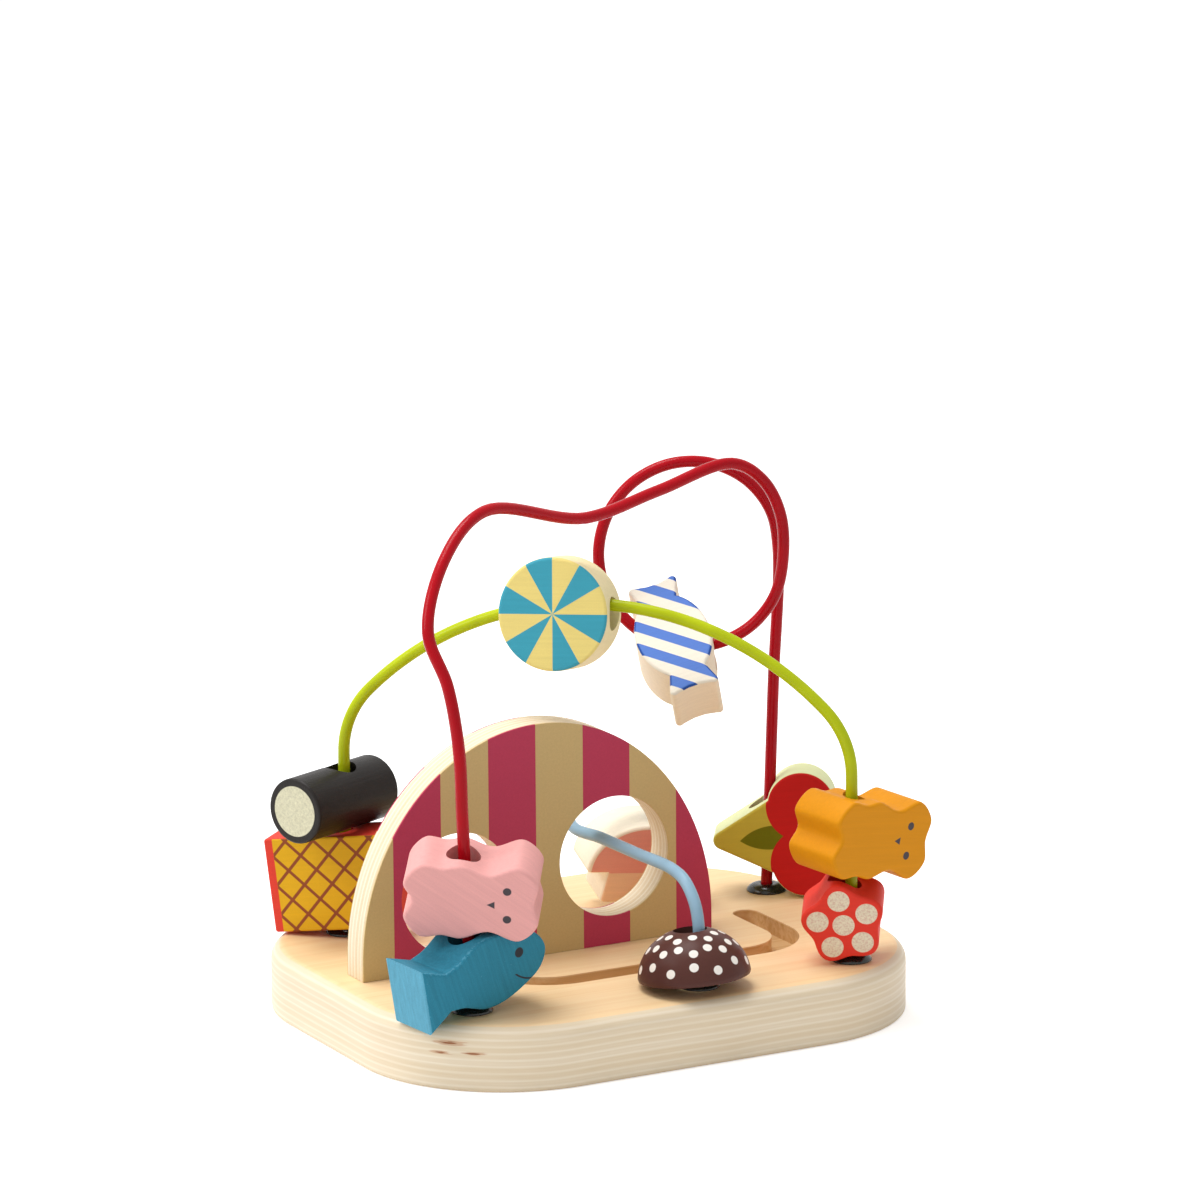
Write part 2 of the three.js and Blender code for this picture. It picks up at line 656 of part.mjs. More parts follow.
function rollGeometry() {
  const barrel = drum(ROLL_DIAMETER / 2, ROLL_LENGTH, 28).rotateZ(-Math.PI / 2);
  return cut(barrel.translate(-ROLL_BORE_SHIFT, 0, 0), boreAlong(UP));
}

function discGeometry() {
  return cut(drum(DISC_DIAMETER / 2, DISC_THICK, 40).rotateX(Math.PI / 2), boreAlong(ACROSS));
}

function domeGeometry() {
  const arc = new THREE.EllipseCurve(0, 0, DOME_RADIUS, DOME_HEIGHT, 0, Math.PI / 2);
  const crown = arc.getPoints(8).map((point) => new THREE.Vector2(Math.max(point.x, 0), point.y));
  const profile = [new THREE.Vector2(0, 0), ...crown];
  return cut(new THREE.LatheGeometry(profile, 32).translate(0, -DOME_HEIGHT / 2, 0), boreAlong(UP));
}

// How far a bead's middle lies above what it rests on, when its bore is tipped from upright
function restAbove(halfHeight, { lean, roll }) {
  const tip = rad(Math.hypot(lean, roll));
  return FIT + halfHeight * Math.cos(tip) + (BORE / 2) * Math.sin(tip);
}

function besidePost(place, { facing, aside }, height) {
  const x = place.x + aside * Math.cos(rad(facing));
  const y = place.y + aside * Math.sin(rad(facing));
  return above({ x, y }, height);
}

function makeRedBeads() {
  const { fish, pinkBear, cherries, candy } = LIE;
  const fishAt = FERRULE_SEAT - FISH_SINK + restAbove(FISH_HALF_HEIGHT, fish);
  const pinkAt = fishAt + FISH_HALF_HEIGHT + BEAR_HALF_HEIGHT + BEAR_ON_FISH;
  addBead('blue_fish', fishGeometry(), '#3f93b3', besidePost(feet.redFront, fish, fishAt), fish);
  addBead('pink_bear', bearGeometry(), '#f0b0ac', besidePost(feet.redFront, pinkBear, pinkAt), pinkBear);

  const roll = rad(cherries.roll);
  const cherriesAt = FIT + CHERRY_RADIUS + CHERRY_SPREAD * Math.cos(roll) - CHERRY_REACH * Math.sin(roll);
  const cherriesPlace = besidePost(feet.redBack, cherries, cherriesAt);
  addBead('twin_cherries', cherriesGeometry(), '#c01c1f', cherriesPlace, cherries);

  const candyPlace = loopPoint(CANDY_LOOP_ANGLE);
  candyPlace.z += CANDY_RIDE;
  const along = loopPoint(CANDY_LOOP_ANGLE + 1).sub(loopPoint(CANDY_LOOP_ANGLE - 1)).normalize();
  along.applyQuaternion(turnOf(candy).invert());
  addBead('striped_candy', candyGeometry(along), '#cfd2ee', candyPlace, candy);
}

function makeLimeBeads() {
  const { raspberry, yellowBear, waffle, liquorice } = LIE;
  const berryAt = FERRULE_SEAT + restAbove(raspberryRadius(-Math.PI / 2) + FIT, raspberry);
  const yellowAt = berryAt + RASPBERRY_RADIUS + BEAR_HALF_HEIGHT + BEAR_ON_RASPBERRY;
  const berryPlace = besidePost(feet.limeFront, raspberry, berryAt);
  const yellowPlace = besidePost(feet.limeFront, yellowBear, yellowAt);
  addBead('raspberry', raspberryGeometry(), '#ea4d44', berryPlace, raspberry);
  addBead('yellow_bear', bearGeometry(), '#e6a11c', yellowPlace, yellowBear);

  const waffleAt = FERRULE_SEAT + restAbove(WAFFLE_HEIGHT / 2, waffle);
  const rollAt = waffleAt + WAFFLE_HEIGHT / 2 + restAbove(ROLL_DIAMETER / 2, waffle);
  const rollPlace = besidePost(feet.limeBack, liquorice, rollAt);
  addBead('waffle_block', waffleGeometry(), '#d9a017', besidePost(feet.limeBack, waffle, waffleAt), waffle);
  addBead('liquorice_roll', rollGeometry(), '#2a2523', rollPlace, liquorice);

  const hang = (BORE - WIRE) / 2 - FIT;
  const sag = limeCrown - Math.sqrt(limeCrown ** 2 - DISC_BEFORE_CROWN ** 2);
  const discPlace = limePoint(limeHalf - DISC_BEFORE_CROWN, LIME_POST + LIME_RISE - sag - hang + FIT);
  const disc = { ...LIE.disc, facing: THREE.MathUtils.radToDeg(limeAzimuth) + LIE.disc.twist };
  addBead('round_candy_disc', discGeometry(), '#7fb9b0', discPlace, disc);
}

function makeGreyBeads() {
  const { dome, mushroom } = LIE;
  const domeAt = FERRULE_SEAT + restAbove(DOME_HEIGHT / 2, dome);
  addBead('chocolate_dome', domeGeometry(), '#5b3835', besidePost(feet.greyFront, dome, domeAt), dome);

  const mushroomAt = FERRULE_SEAT + FIT + restAbove((STEM_HEIGHT + MUSHROOM_CAP_HEIGHT) / 2, mushroom);
  const mushroomPlace = besidePost(feet.greyBack, mushroom, mushroomAt);
  addBead('foam_mushroom', mushroomGeometry(), '#f3e3cc', mushroomPlace, mushroom);
}

makeBoard();
makeArch();
makeScrews();
makeWires();
makeFastenings();
makeRedBeads();
makeLimeBeads();
makeGreyBeads();

export default frame;
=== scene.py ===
import math

import bmesh
import bpy
from mathutils import Matrix, Vector


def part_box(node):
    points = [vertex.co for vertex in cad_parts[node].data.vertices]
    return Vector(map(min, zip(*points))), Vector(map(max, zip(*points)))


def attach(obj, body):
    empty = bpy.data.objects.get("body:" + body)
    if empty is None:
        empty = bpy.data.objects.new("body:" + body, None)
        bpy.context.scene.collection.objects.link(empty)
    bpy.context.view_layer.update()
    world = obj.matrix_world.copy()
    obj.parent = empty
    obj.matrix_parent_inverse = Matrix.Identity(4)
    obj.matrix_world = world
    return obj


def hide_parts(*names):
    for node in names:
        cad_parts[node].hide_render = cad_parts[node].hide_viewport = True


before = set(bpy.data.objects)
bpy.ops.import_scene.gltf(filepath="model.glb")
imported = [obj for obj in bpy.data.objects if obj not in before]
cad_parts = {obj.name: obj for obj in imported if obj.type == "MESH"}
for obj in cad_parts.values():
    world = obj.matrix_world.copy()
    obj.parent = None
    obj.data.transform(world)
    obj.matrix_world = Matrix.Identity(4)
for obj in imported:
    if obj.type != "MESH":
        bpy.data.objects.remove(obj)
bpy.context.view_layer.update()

# Wooden bead frame: plywood board and arch, three bent wires and eleven painted wooden beads.
# Shapes are made in millimetres and become metres when a piece is finished.
MM = 0.001

# Sizes of the board, the arch and the groove
BOARD = (200, 165, 22)
BOARD_CORNER = 53
BOARD_TOP_ROUND = 5
BOARD_FOOT_ROUND = 1
ARCH_X = -21.9
ARCH_Y = -0.5
ARCH_HALF_WIDTH = 66.8
ARCH_RISE = 74.8
ARCH_STILT = 6
ARCH_THICK = 12
ARCH_ROUND = 1.6
ARCH_HOLES = ((-31.1, 26), (28.9, 31))
HOLE_RADIUS = 21
GROOVE_WIDTH = 9.5
GROOVE_DEPTH = 6
GROOVE_TURN = 20
GROOVE_LEFT = (-45, -15.25)
GROOVE_RIGHT = (65, 4.5)
GROOVE_FRONT = -37
RIM_EASE = 0.4

# Wires, their feet in the board and what holds them there
WIRE = 4.1
WIRE_END = 1.5
RED_POST = 88
RED_POST_LEAN = (-3, 1.5)
LOOP_RADIUS = 31.4
LOOP_HEIGHT = 124
LOOP_PITCH = 24
LOOP_FACING = -26
LOOP_SHIFT = 4
LOOP_STEPS = 14
LIME_POST = 64
LIME_BEND = 32
LIME_CROWN = 55.5
GREY_LEVEL = 36
GREY_FRONT_BEND = 18
GREY_HUMP = 12
GREY_DRIFT = 2
GREY_TURN_SHARE = 0.28
FEET = {
    "red_front": (-72, -53),
    "red_back": (86, 27),
    "lime_front": (67, -63),
    "lime_back": (-66, 52),
    "grey_front": (7, -65),
    "grey_back": (44, 31.5),
}
FIT = 0.3
SEAT = 0.1
WIRE_GRIP = 0.02
FERRULE_RADIUS = 7
FERRULE_HEIGHT = 2.6
FERRULE_NECK = 3
RETAINER_RADIUS = 6
RETAINER_THICK = 1.2
RETAINER_DISH = 0.8
RETAINER_SINK = 14
RETAINER_SINK_DEPTH = 5
SCREW_SPACING = 58
SCREW_HEAD = 4
SCREW_SHANK = 2
SCREW_END = 35
SCREW_SINK = 8.6
SCREW_SINK_DEPTH = 4.3
OVERCUT = 5

# Turns in degrees that make a tip, a corner or a shaded edge sharp
TIP_TURN = 40
CORNER_TURN = 50
SHADE_TURN = 38

# Beads
BORE = 11.5
BEAD_THICK = 20
BEAD_EDGE = 1.2
BEAR_LENGTH = 44.2
BEAR_HALF_HEIGHT = 13.3
BEAR_THICK = 22.5
BEAR_SHIFT = 1.2
FISH_TAIL = (-26, 11.5)
DISC_RADIUS = 19.3
DISC_THICK = 17
DOME_RADIUS = 19
DOME_HEIGHT = 17
ROLL_RADIUS = 11.3
ROLL_LENGTH = 42
ROLL_SHIFT = -3
ROLL_EDGE = 0.9
WAFFLE = (47, 33)
WAFFLE_CORNER = 0.9
WAFFLE_EDGE = 0.8
CHERRY_RADIUS = 11.9
CHERRY_SPREAD = 10.1
CHERRY_REACH = 13
CHERRY_TURN = 166
STALK_END = -15.3
STALK_ROUND = 3.4
STALK_TURN = 60
CANDY_HALF_WIDTH = 13
CANDY_HALF_LENGTH = 18
CANDY_NECK = 6.5
CANDY_END = (9.6, 25.2)
CANDY_NOTCH = 20.4
CANDY_SHIFT = -2.8
CAP_HALF_WIDTH = 21
CAP_HEIGHT = 17.5
STEM_HEIGHT = 11.2
STEM_FOOT = 15.5
STEM_TOP = 13.5
MUSHROOM_SHIFT = -7
MUSHROOM_BRIM = -3.15
RASPBERRY_TURN = 29
RASPBERRY_RADIUS = 13.1
RASPBERRY_LOBE = 1.3
TIP_ROUND = BEAD_EDGE + 0.3

# Real sizes of grain, pores and marks, along each axis where three are given
GRAIN = (28, 1.1, 1.1)
PORE = 0.45
PLY = 2.3
PLY_WAVE = 45
PLY_SWAY = 1.1
STREAKS = (16, 16, 0.45)
FACE_GRAIN = (120, 2.4, 2.4)
PAINT_CHIP = 1.1
WORN_RIM = 0.75
# How far in from the fish's tail end its painted highlight reaches
TAIL_END_HIGHLIGHT = 0.4
INK_SPECKLE = 0.6
PRINT_WEAVE = 0.75
COAT_SWELL = 9
MOULD_MARK = 0.8
ZINC_CLOUD = 1.6
# The range that holds most values of a noise pattern, and how much the pores count beside the grain
NOISE_RANGE = (0.3, 0.7)
PORE_SHARE = 0.6
# How far chips reach past a worn rim, and the level of their pattern at which they begin
CHIP_REACH = 3
CHIP_LEVEL = 0.45
# Each knot's place and size, how grain draws them out, each ink with its reach, and their raggedness
KNOTS = (((-86.5, -64.8, 16.2), 0.55), ((-88.4, -62.6, 12.8), 0.35), ((-80.5, -70.4, 13), 0.4))
KNOT_STRETCH = (0.14, 0.14, 1)
KNOT_INKS = (("#D2B090", 1.5), ("#98623F", 0.75))
KNOT_RAG = 1.6

# Prints: how soft their edges are, how far below a flat face they reach, and their sizes
PRINT_SOFT = 0.22
PRINT_DEPTH = {
    "eyes": 0.2, "seeds": 0.2, "cherries": 0.5, "leaf": 0.3, "disc": 0.6, "roll end": 0.3,
    "waffle": 0.35, "mushroom": 0.3, "candy": 0.7, "candy stripe": 0.1, "candy front stripe": 0.75,
    "candy light blue": 0.12, "arch": 0.5, "arch stripe": 0.7,
}
BOARD_FACE = 0.45
BOARD_FOOT_FACE = 0.3
STRIPE_REPEAT = 36
STRIPE_SHIFT = 1.1 / STRIPE_REPEAT
CANDY_REPEAT = 8.1
CANDY_SLANT = 47
CANDY_BAND = 1.95
CANDY_STRIPE_SHIFT = 0.94
BEAR_EYES = ((15.3, 5.1), (15.3, -5.1))
BEAR_EYE_RADIUS = 1.4
BEAR_NOSE_TIP = 8.6
BEAR_NOSE_BASE = 11.2
FISH_EYE = (13.4, 2.5)
FISH_EYE_RADIUS = 1.75
SMILE_CENTRE = (19.9, 3.4)
SMILE_RADIUS = 12.03
SMILE_END = (19.2, -4.4)
SMILE_LINE = 0.3
SEED_RING = 8.8
SEED_RADIUS = 3.7
LEAF_ARCS = (((2.5, -13.3), 17.3), ((1.5, 12.7), 17.1))
LATTICE = 7.3
LATTICE_LINE = 0.55
WAFFLE_MARGIN = 3.2
CAP_MARGIN = 1.5
CHERRY_PRINT_MARGIN = 0.4
ROLL_END_PRINT = 8.75
# Each ring of dots on the dome: its lean from the top in degrees and its number of dots
DOME_RINGS = ((72, 14), (51, 17), (33, 12))
DOME_RING_SHIFT = 0.3
DOME_DOT = 1.55
DOME_SWAY = 0.05

# The photograph's camera: turns in degrees, lengths in millimetres, scale in pixels for each millimetre
VIEW_TURN = -28.4837
VIEW_RISE = 12.912
VIEW_ROLL = -0.3613
VIEW_CENTRE = (4.0215, 138.1963)
VIEW_DISTANCE = 2174.8586
VIEW_SCALE = 2.9233
PHOTO_WIDTH = 1200
SENSOR = 36

# Brightness of the white room and of the table's own white, and the table in metres
ROOM_LIGHT = 0.58
TABLE_GLOW = 0.5
TABLE_RADIUS = 8
TABLE_DROP = 0.0001


def arc(x, y, radius_x, radius_y, start, end, steps):
    """Points of an elliptical arc from start to end degrees."""
    turns = [math.radians(start + (end - start) * step / steps) for step in range(steps + 1)]
    return [Vector((x + radius_x * math.cos(t), y + radius_y * math.sin(t))) for t in turns]


def bow(start, corner, end, steps):
    """Points of a curve that leaves start towards a corner and comes from the corner into end."""
    start, corner, end = Vector(start), Vector(corner), Vector(end)
    shares = [step / steps for step in range(steps + 1)]
    return [start.lerp(corner, share).lerp(corner.lerp(end, share), share) for share in shares]


def smooth_through(knots, closed=False, steps=10):
    """Points of a smooth curve through its knots, evenly tense whatever their spacing."""
    count = len(knots)

    def knot(place):
        if closed:
            return knots[place % count]
        if place < 0:
            return 2 * knots[0] - knots[1]
        if place >= count:
            return 2 * knots[-1] - knots[-2]
        return knots[place]

    points = []
    for span in range(count if closed else count - 1):
        a, b, c, d = (knot(span + shift) for shift in (-1, 0, 1, 2))
        before, here, after = (math.sqrt((q - p).length) for p, q in ((a, b), (b, c), (c, d)))
        leave = ((b - a) / before - (c - a) / (before + here) + (c - b) / here) * here
        reach = ((c - b) / here - (d - b) / (here + after) + (d - c) / after) * here
        for step in range(steps):
            t = step / steps
            bend = (3 * (c - b) - 2 * leave - reach) * t * t
            points.append(b + leave * t + bend + (2 * (b - c) + leave + reach) * t ** 3)
    return points if closed else points + [knots[-1]]


def mirrored(half):
    """A closed outline from its upper half, given from left to right."""
    upper = [Vector(point) for point in half]
    return upper + [Vector((p.x, -p.y)) for p in reversed(upper[1:-1])]


def blunted(outline, radius, steps=5):
    """An outline, given anticlockwise, whose sharp tips are rounded off with a small radius."""
    points = []
    for before, tip, after in zip([outline[-1], *outline], outline, [*outline[1:], outline[0]]):
        back, ahead = (before - tip).normalized(), (after - tip).normalized()
        turn = (-back).angle_signed(ahead)
        if turn > -math.radians(TIP_TURN):
            points.append(tip)
            continue
        half = (math.pi + turn) / 2
        middle = tip + (back + ahead).normalized() * radius / math.sin(half)
        start, end = (tip + way * radius / math.tan(half) - middle for way in (back, ahead))
        points += [middle + radius * start.slerp(end, step / steps) for step in range(steps + 1)]
    return points


def plate(outline, thick, edge=0, steps=4):
    """A flat piece sawn to an outline about its middle plane, with both rims rounded."""
    bm = bmesh.new()
    rim = [bm.verts.new((point[0], point[1], -thick / 2)) for point in outline]
    face = bm.faces.new(rim)
    grown = bmesh.ops.extrude_face_region(bm, geom=[face], use_keep_orig=True)
    lifted = [part for part in grown["geom"] if isinstance(part, bmesh.types.BMVert)]
    bmesh.ops.translate(bm, verts=lifted, vec=(0, 0, thick))
    bmesh.ops.recalc_face_normals(bm, faces=bm.faces)
    if edge:
        rims = [e for e in bm.edges if abs(e.verts[0].co.z - e.verts[1].co.z) < thick / 2]
        bmesh.ops.bevel(
            bm, geom=rims, offset=edge, segments=steps, profile=0.5, affect="EDGES", material=-1
        )
    return bm


def turned(profile, steps=64):
    """A piece turned about Z from its half profile of (radius, height)."""
    bm = bmesh.new()
    line = [bm.verts.new((radius, 0, height)) for radius, height in profile]
    edges = [bm.edges.new(pair) for pair in zip(line, line[1:])]
    bmesh.ops.spin(
        bm, geom=line + edges, cent=(0, 0, 0), axis=(0, 0, 1),
        angle=2 * math.pi, steps=steps, use_merge=True,
    )
    bmesh.ops.remove_doubles(bm, verts=bm.verts, dist=1e-4)
    bmesh.ops.recalc_face_normals(bm, faces=bm.faces)
    return bm


def rod(diameter, start, end, steps=48):
    """A round rod between two points, for drilling."""
    start, end = Vector(start), Vector(end)
    along = end - start
    bm = bmesh.new()
    bmesh.ops.create_cone(
        bm, cap_ends=True, segments=steps, radius1=diameter / 2, radius2=diameter / 2,
        depth=along.length, matrix=Matrix.Translation((start + end) / 2)
        @ along.to_track_quat("Z", "Y").to_matrix().to_4x4(),
    )
    return bm


def loose(bm):
    """A bare object that only serves to be cut or to cut."""
    mesh = bpy.data.meshes.new("loose")
    bm.to_mesh(mesh)
    bm.free()
    made = bpy.data.objects.new("loose", mesh)
    bpy.context.scene.collection.objects.link(made)
    return made


def carve(bm, *tools):
    """Cuts tools out of a shape."""
    block = loose(bm)
    cutters = [loose(tool) for tool in tools]
    for cutter in cutters:
        cutting = block.modifiers.new("cut", "BOOLEAN")
        cutting.operation = "DIFFERENCE"
        cutting.solver = "EXACT"
        cutting.object = cutter
    whole = block.evaluated_get(bpy.context.evaluated_depsgraph_get())
    result = bmesh.new()
    result.from_mesh(whole.to_mesh())
    whole.to_mesh_clear()
    for used in [block, *cutters]:
        mesh = used.data
        bpy.data.objects.remove(used)
        bpy.data.meshes.remove(mesh)
    bmesh.ops.remove_doubles(result, verts=result.verts, dist=1e-3)
    return result


def corner_edges(bm, keep):
    """Edges between faces at a clear corner, where both ends satisfy keep."""
    return [
        e for e in bm.edges
        if len(e.link_faces) == 2
        and e.calc_face_angle(0) > math.radians(CORNER_TURN)
        and all(keep(v.co) for v in e.verts)
    ]


def ease(bm, edges, width, steps=3):
    """Rounds off edges by a small width."""
    bmesh.ops.bevel(
        bm, geom=edges, offset=width, segments=steps, profile=0.5, affect="EDGES",
        material=-1, clamp_overlap=True,
    )


def finish_piece(name, mesh, finish, body, nodes, place=Matrix()):
    """Places and dresses a mesh in millimetres, whose own coordinates are kept for its finish."""
    own = mesh.attributes.new("own_mm", "FLOAT_VECTOR", "POINT")
    own.data.foreach_set("vector", [c for v in mesh.vertices for c in v.co])
    mesh.transform(Matrix.Scale(MM, 4) @ place)
    for face in mesh.polygons:
        face.use_smooth = True
    mesh.set_sharp_from_angle(angle=math.radians(SHADE_TURN))
    mesh.materials.append(finish)
    made = bpy.data.objects.new(name, mesh)
    bpy.context.scene.collection.objects.link(made)
    flats = made.modifiers.new("flat faces stay flat", "WEIGHTED_NORMAL")
    flats.keep_sharp = True
    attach(made, body)
    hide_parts(*nodes)


def piece(name, bm, finish, body, nodes, place=Matrix()):
    """Turns a shape in millimetres into a finished piece."""
    mesh = bpy.data.meshes.new(name)
    bm.to_mesh(mesh)
    bm.free()
    finish_piece(name, mesh, finish, body, nodes, place)


def stood(facing, lean, roll):
    """How a bead is turned: its face is upright, looks to facing, tips by lean and turns by roll."""
    tipped = Matrix.Rotation(math.radians(90 + lean), 4, "X")
    upright = tipped @ Matrix.Rotation(math.radians(roll), 4, "Z")
    return Matrix.Rotation(math.radians(facing), 4, "Z") @ upright


def put_at(node, bm, turned_by):
    """Where a turned bead lies: the middle of its box is the middle of its node's box in the frame."""
    points = [turned_by @ vert.co for vert in bm.verts]
    spans = [[point[axis] for point in points] for axis in range(3)]
    middle = Vector((min(span) + max(span)) / 2 for span in spans)
    low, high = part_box(node)
    return Matrix.Translation((low + high) / 2 / MM - middle) @ turned_by


def linear(hex_colour):
    """An sRGB hex colour as linear RGBA."""
    parts = [int(hex_colour[start:start + 2], 16) / 255 for start in (1, 3, 5)]
    return tuple(p / 12.92 if p <= 0.04045 else ((p + 0.055) / 1.055) ** 2.4 for p in parts) + (1.0,)


def feed(tree, node, inputs):
    """Gives a node its inputs: plain values, hex colours or other nodes' outputs."""
    for name, value in inputs.items():
        if isinstance(value, bpy.types.NodeSocket):
            tree.links.new(value, node.inputs[name])
        elif isinstance(value, str):
            node.inputs[name].default_value = linear(value)
        else:
            node.inputs[name].default_value = value


def add(tree, kind, inputs=None, out=0, **settings):
    """Adds a node with its settings and inputs, and gives one of its outputs."""
    made = tree.nodes.new(kind)
    for name, value in settings.items():
        setattr(made, name, value)
    feed(tree, made, inputs or {})
    return made.outputs[out] if made.outputs else None


def maths(tree, operation, *values):
    """One step of arithmetic on numbers."""
    return add(tree, "ShaderNodeMath", dict(enumerate(values)), operation=operation)


def vector_maths(tree, operation, *values):
    """One step of arithmetic on vectors. A length or a distance comes out as a number."""
    out = "Value" if operation in ("LENGTH", "DISTANCE") else "Vector"
    return add(tree, "ShaderNodeVectorMath", dict(enumerate(values)), out, operation=operation)


def off(tree, value, middle):
    """How far a value is from a middle, to either side."""
    return maths(tree, "ABSOLUTE", maths(tree, "SUBTRACT", value, middle))


def ranged(tree, value, source, target, **settings):
    """A value carried over from one range into another."""
    limits = {"Value": value, 1: source[0], 2: source[1], 3: target[0], 4: target[1]}
    return add(tree, "ShaderNodeMapRange", limits, **settings)


def mixed(tree, share, first, second):
    """A colour between two others."""
    return add(tree, "ShaderNodeMix", {0: share, 6: first, 7: second}, out=2, data_type="RGBA")


def shaded(tree, colour, share):
    """A colour made lighter or darker."""
    return add(tree, "ShaderNodeVectorMath", {0: colour, "Scale": share}, operation="SCALE")


def stretched(tree, place, sizes):
    """Coordinates in which a pattern of size 1 has a real size of its own along each axis."""
    return add(tree, "ShaderNodeMapping", {"Vector": place, "Scale": [1 / size for size in sizes]})


def noise(tree, place, size, detail, roughness=0.5, distortion=0.0):
    """An uneven pattern whose blots have a real size."""
    shape = {"Scale": 1 / size, "Detail": detail, "Roughness": roughness, "Distortion": distortion}
    return add(tree, "ShaderNodeTexNoise", {"Vector": place, **shape})


def bumps(tree, height, strength, distance):
    """Small unevenness of a surface, its depth in millimetres."""
    return add(tree, "ShaderNodeBump", {"Height": height, "Strength": strength, "Distance": distance * MM})


def new_finish(name):
    """An empty finish: the material, its nodes, its shader and the piece's own millimetres."""
    material = bpy.data.materials.new(name)
    material.use_nodes = True
    tree = material.node_tree
    shader = tree.nodes["Principled BSDF"]
    own = add(tree, "ShaderNodeAttribute", out="Vector", attribute_name="own_mm")
    return material, tree, shader, own


def printed(tree, under, ink, *limits):
    """Lays an ink over a colour where every field is under its limit, with a fine soft edge."""
    cover = 1.0
    for field, limit in limits:
        edge = (limit - PRINT_SOFT / 2, limit + PRINT_SOFT / 2)
        inside = ranged(tree, field, edge, (1, 0), interpolation_type="SMOOTHSTEP")
        cover = maths(tree, "MULTIPLY", inside, cover)
    return mixed(tree, cover, under, ink)


def face_axes(tree, own, thick=BEAD_THICK):
    """Across the face, up the face, and how far a point lies below the nearer face."""
    across = add(tree, "ShaderNodeSeparateXYZ", {0: own})
    _, up, depth = across.node.outputs
    below = maths(tree, "SUBTRACT", thick / 2, maths(tree, "ABSOLUTE", depth))
    return across, up, below


def from_spots(tree, own, spots):
    """Distance across the face to the nearest of several spots."""
    flat = vector_maths(tree, "MULTIPLY", own, (1, 1, 0))
    nearest = None
    for u, v in spots:
        gap = vector_maths(tree, "DISTANCE", flat, (u, v, 0))
        nearest = gap if nearest is None else maths(tree, "MINIMUM", nearest, gap)
    return nearest


def repeat_of(tree, value, period, shift=0.0):
    """How far a value is into its repeat, from 0 to 1."""
    return maths(tree, "FRACT", maths(tree, "MULTIPLY_ADD", value, 1 / period, shift))


def painted_wood(name, paint, rough=0.55, streak=0.05, relief=0.25, grain_turn=0.0, shine=0.12):
    """Opaque water paint over sanded hardwood: nearly matt, the grain and pores just showing."""
    material, tree, shader, own = new_finish(name)
    angle = math.radians(grain_turn)
    turned_own = add(
        tree, "ShaderNodeVectorRotate", {"Vector": own, "Angle": angle}, rotation_type="Z_AXIS"
    )
    grain = noise(tree, stretched(tree, turned_own, GRAIN), 1, detail=3, roughness=0.6)
    pores = noise(tree, own, PORE, detail=2)
    both = maths(tree, "MULTIPLY_ADD", pores, PORE_SHARE, grain)
    shade = ranged(tree, both, (0.5, 1.1), (1 - streak, 1 + streak))
    feed(tree, shader, {
        "Base Color": shaded(tree, paint(tree, own), shade),
        "Roughness": ranged(tree, pores, NOISE_RANGE, (rough - 0.06, rough + 0.06)),
        "Normal": bumps(tree, both, strength=relief, distance=0.15),
        "Specular IOR Level": shine,
    })
    return material


def bear_paint(coat, ink):
    """A bear lying on its side: two round eyes and a small three-cornered nose on the face."""
    def paint(tree, own):
        across, up, below = face_axes(tree, own, BEAR_THICK)
        on_face = (below, PRINT_DEPTH["eyes"])
        eyes = from_spots(tree, own, BEAR_EYES)
        colour = printed(tree, coat, ink, (eyes, BEAR_EYE_RADIUS), on_face)
        # The nose widens from its tip by half its length on each side
        slope = maths(tree, "MULTIPLY_ADD", across, -0.5, maths(tree, "ABSOLUTE", up))
        return printed(
            tree, colour, ink,
            (slope, -0.5 * BEAR_NOSE_TIP), (across, BEAR_NOSE_BASE), on_face,
        )
    return paint


def fish_paint(tree, own):
    """Thin blue stain, paler in specks on the worn rims, with a painted highlight on the tail's sawn end;
    an eye and a smile.
    """
    across, up, below = face_axes(tree, own)
    chips = noise(tree, own, PAINT_CHIP, detail=3, roughness=0.7)
    rim_chips = maths(tree, "MULTIPLY_ADD", chips, -CHIP_REACH, off(tree, below, WORN_RIM))
    colour = printed(tree, "#2F8099", "#4A93AC", (rim_chips, -CHIP_REACH * CHIP_LEVEL))
    # The tail's sawn end is painted paler: a painted highlight standing in for light falling on that end
    colour = printed(tree, colour, "#5A9FB8", (across, FISH_TAIL[0] + TAIL_END_HIGHLIGHT))
    ink, on_face = "#33343A", (below, PRINT_DEPTH["eyes"])
    eye = from_spots(tree, own, [FISH_EYE])
    colour = printed(tree, colour, ink, (eye, FISH_EYE_RADIUS), on_face)
    smile = off(tree, from_spots(tree, own, [SMILE_CENTRE]), SMILE_RADIUS)
    ends = ((across, SMILE_END[0]), (up, SMILE_END[1]))
    return printed(tree, colour, ink, (smile, SMILE_LINE), *ends, on_face)


def raspberry_paint(tree, own):
    """Red, with one seed dot on each lobe and one in the middle, thinly printed over the red."""
    _, _, below = face_axes(tree, own)
    ring = arc(0, 0, SEED_RING, SEED_RING, RASPBERRY_TURN, RASPBERRY_TURN + 360, 5)[:-1]
    dots = from_spots(tree, own, [(0, 0), *ring])
    speckle = noise(tree, own, INK_SPECKLE, detail=2)
    thin = ranged(tree, speckle, (0.42, 0.66), (0, 0.55))
    ink = mixed(tree, thin, "#E4D8BE", "#C99A86")
    on_face = (below, PRINT_DEPTH["seeds"])
    return printed(tree, "#DE3A2C", ink, (dots, SEED_RADIUS), on_face)


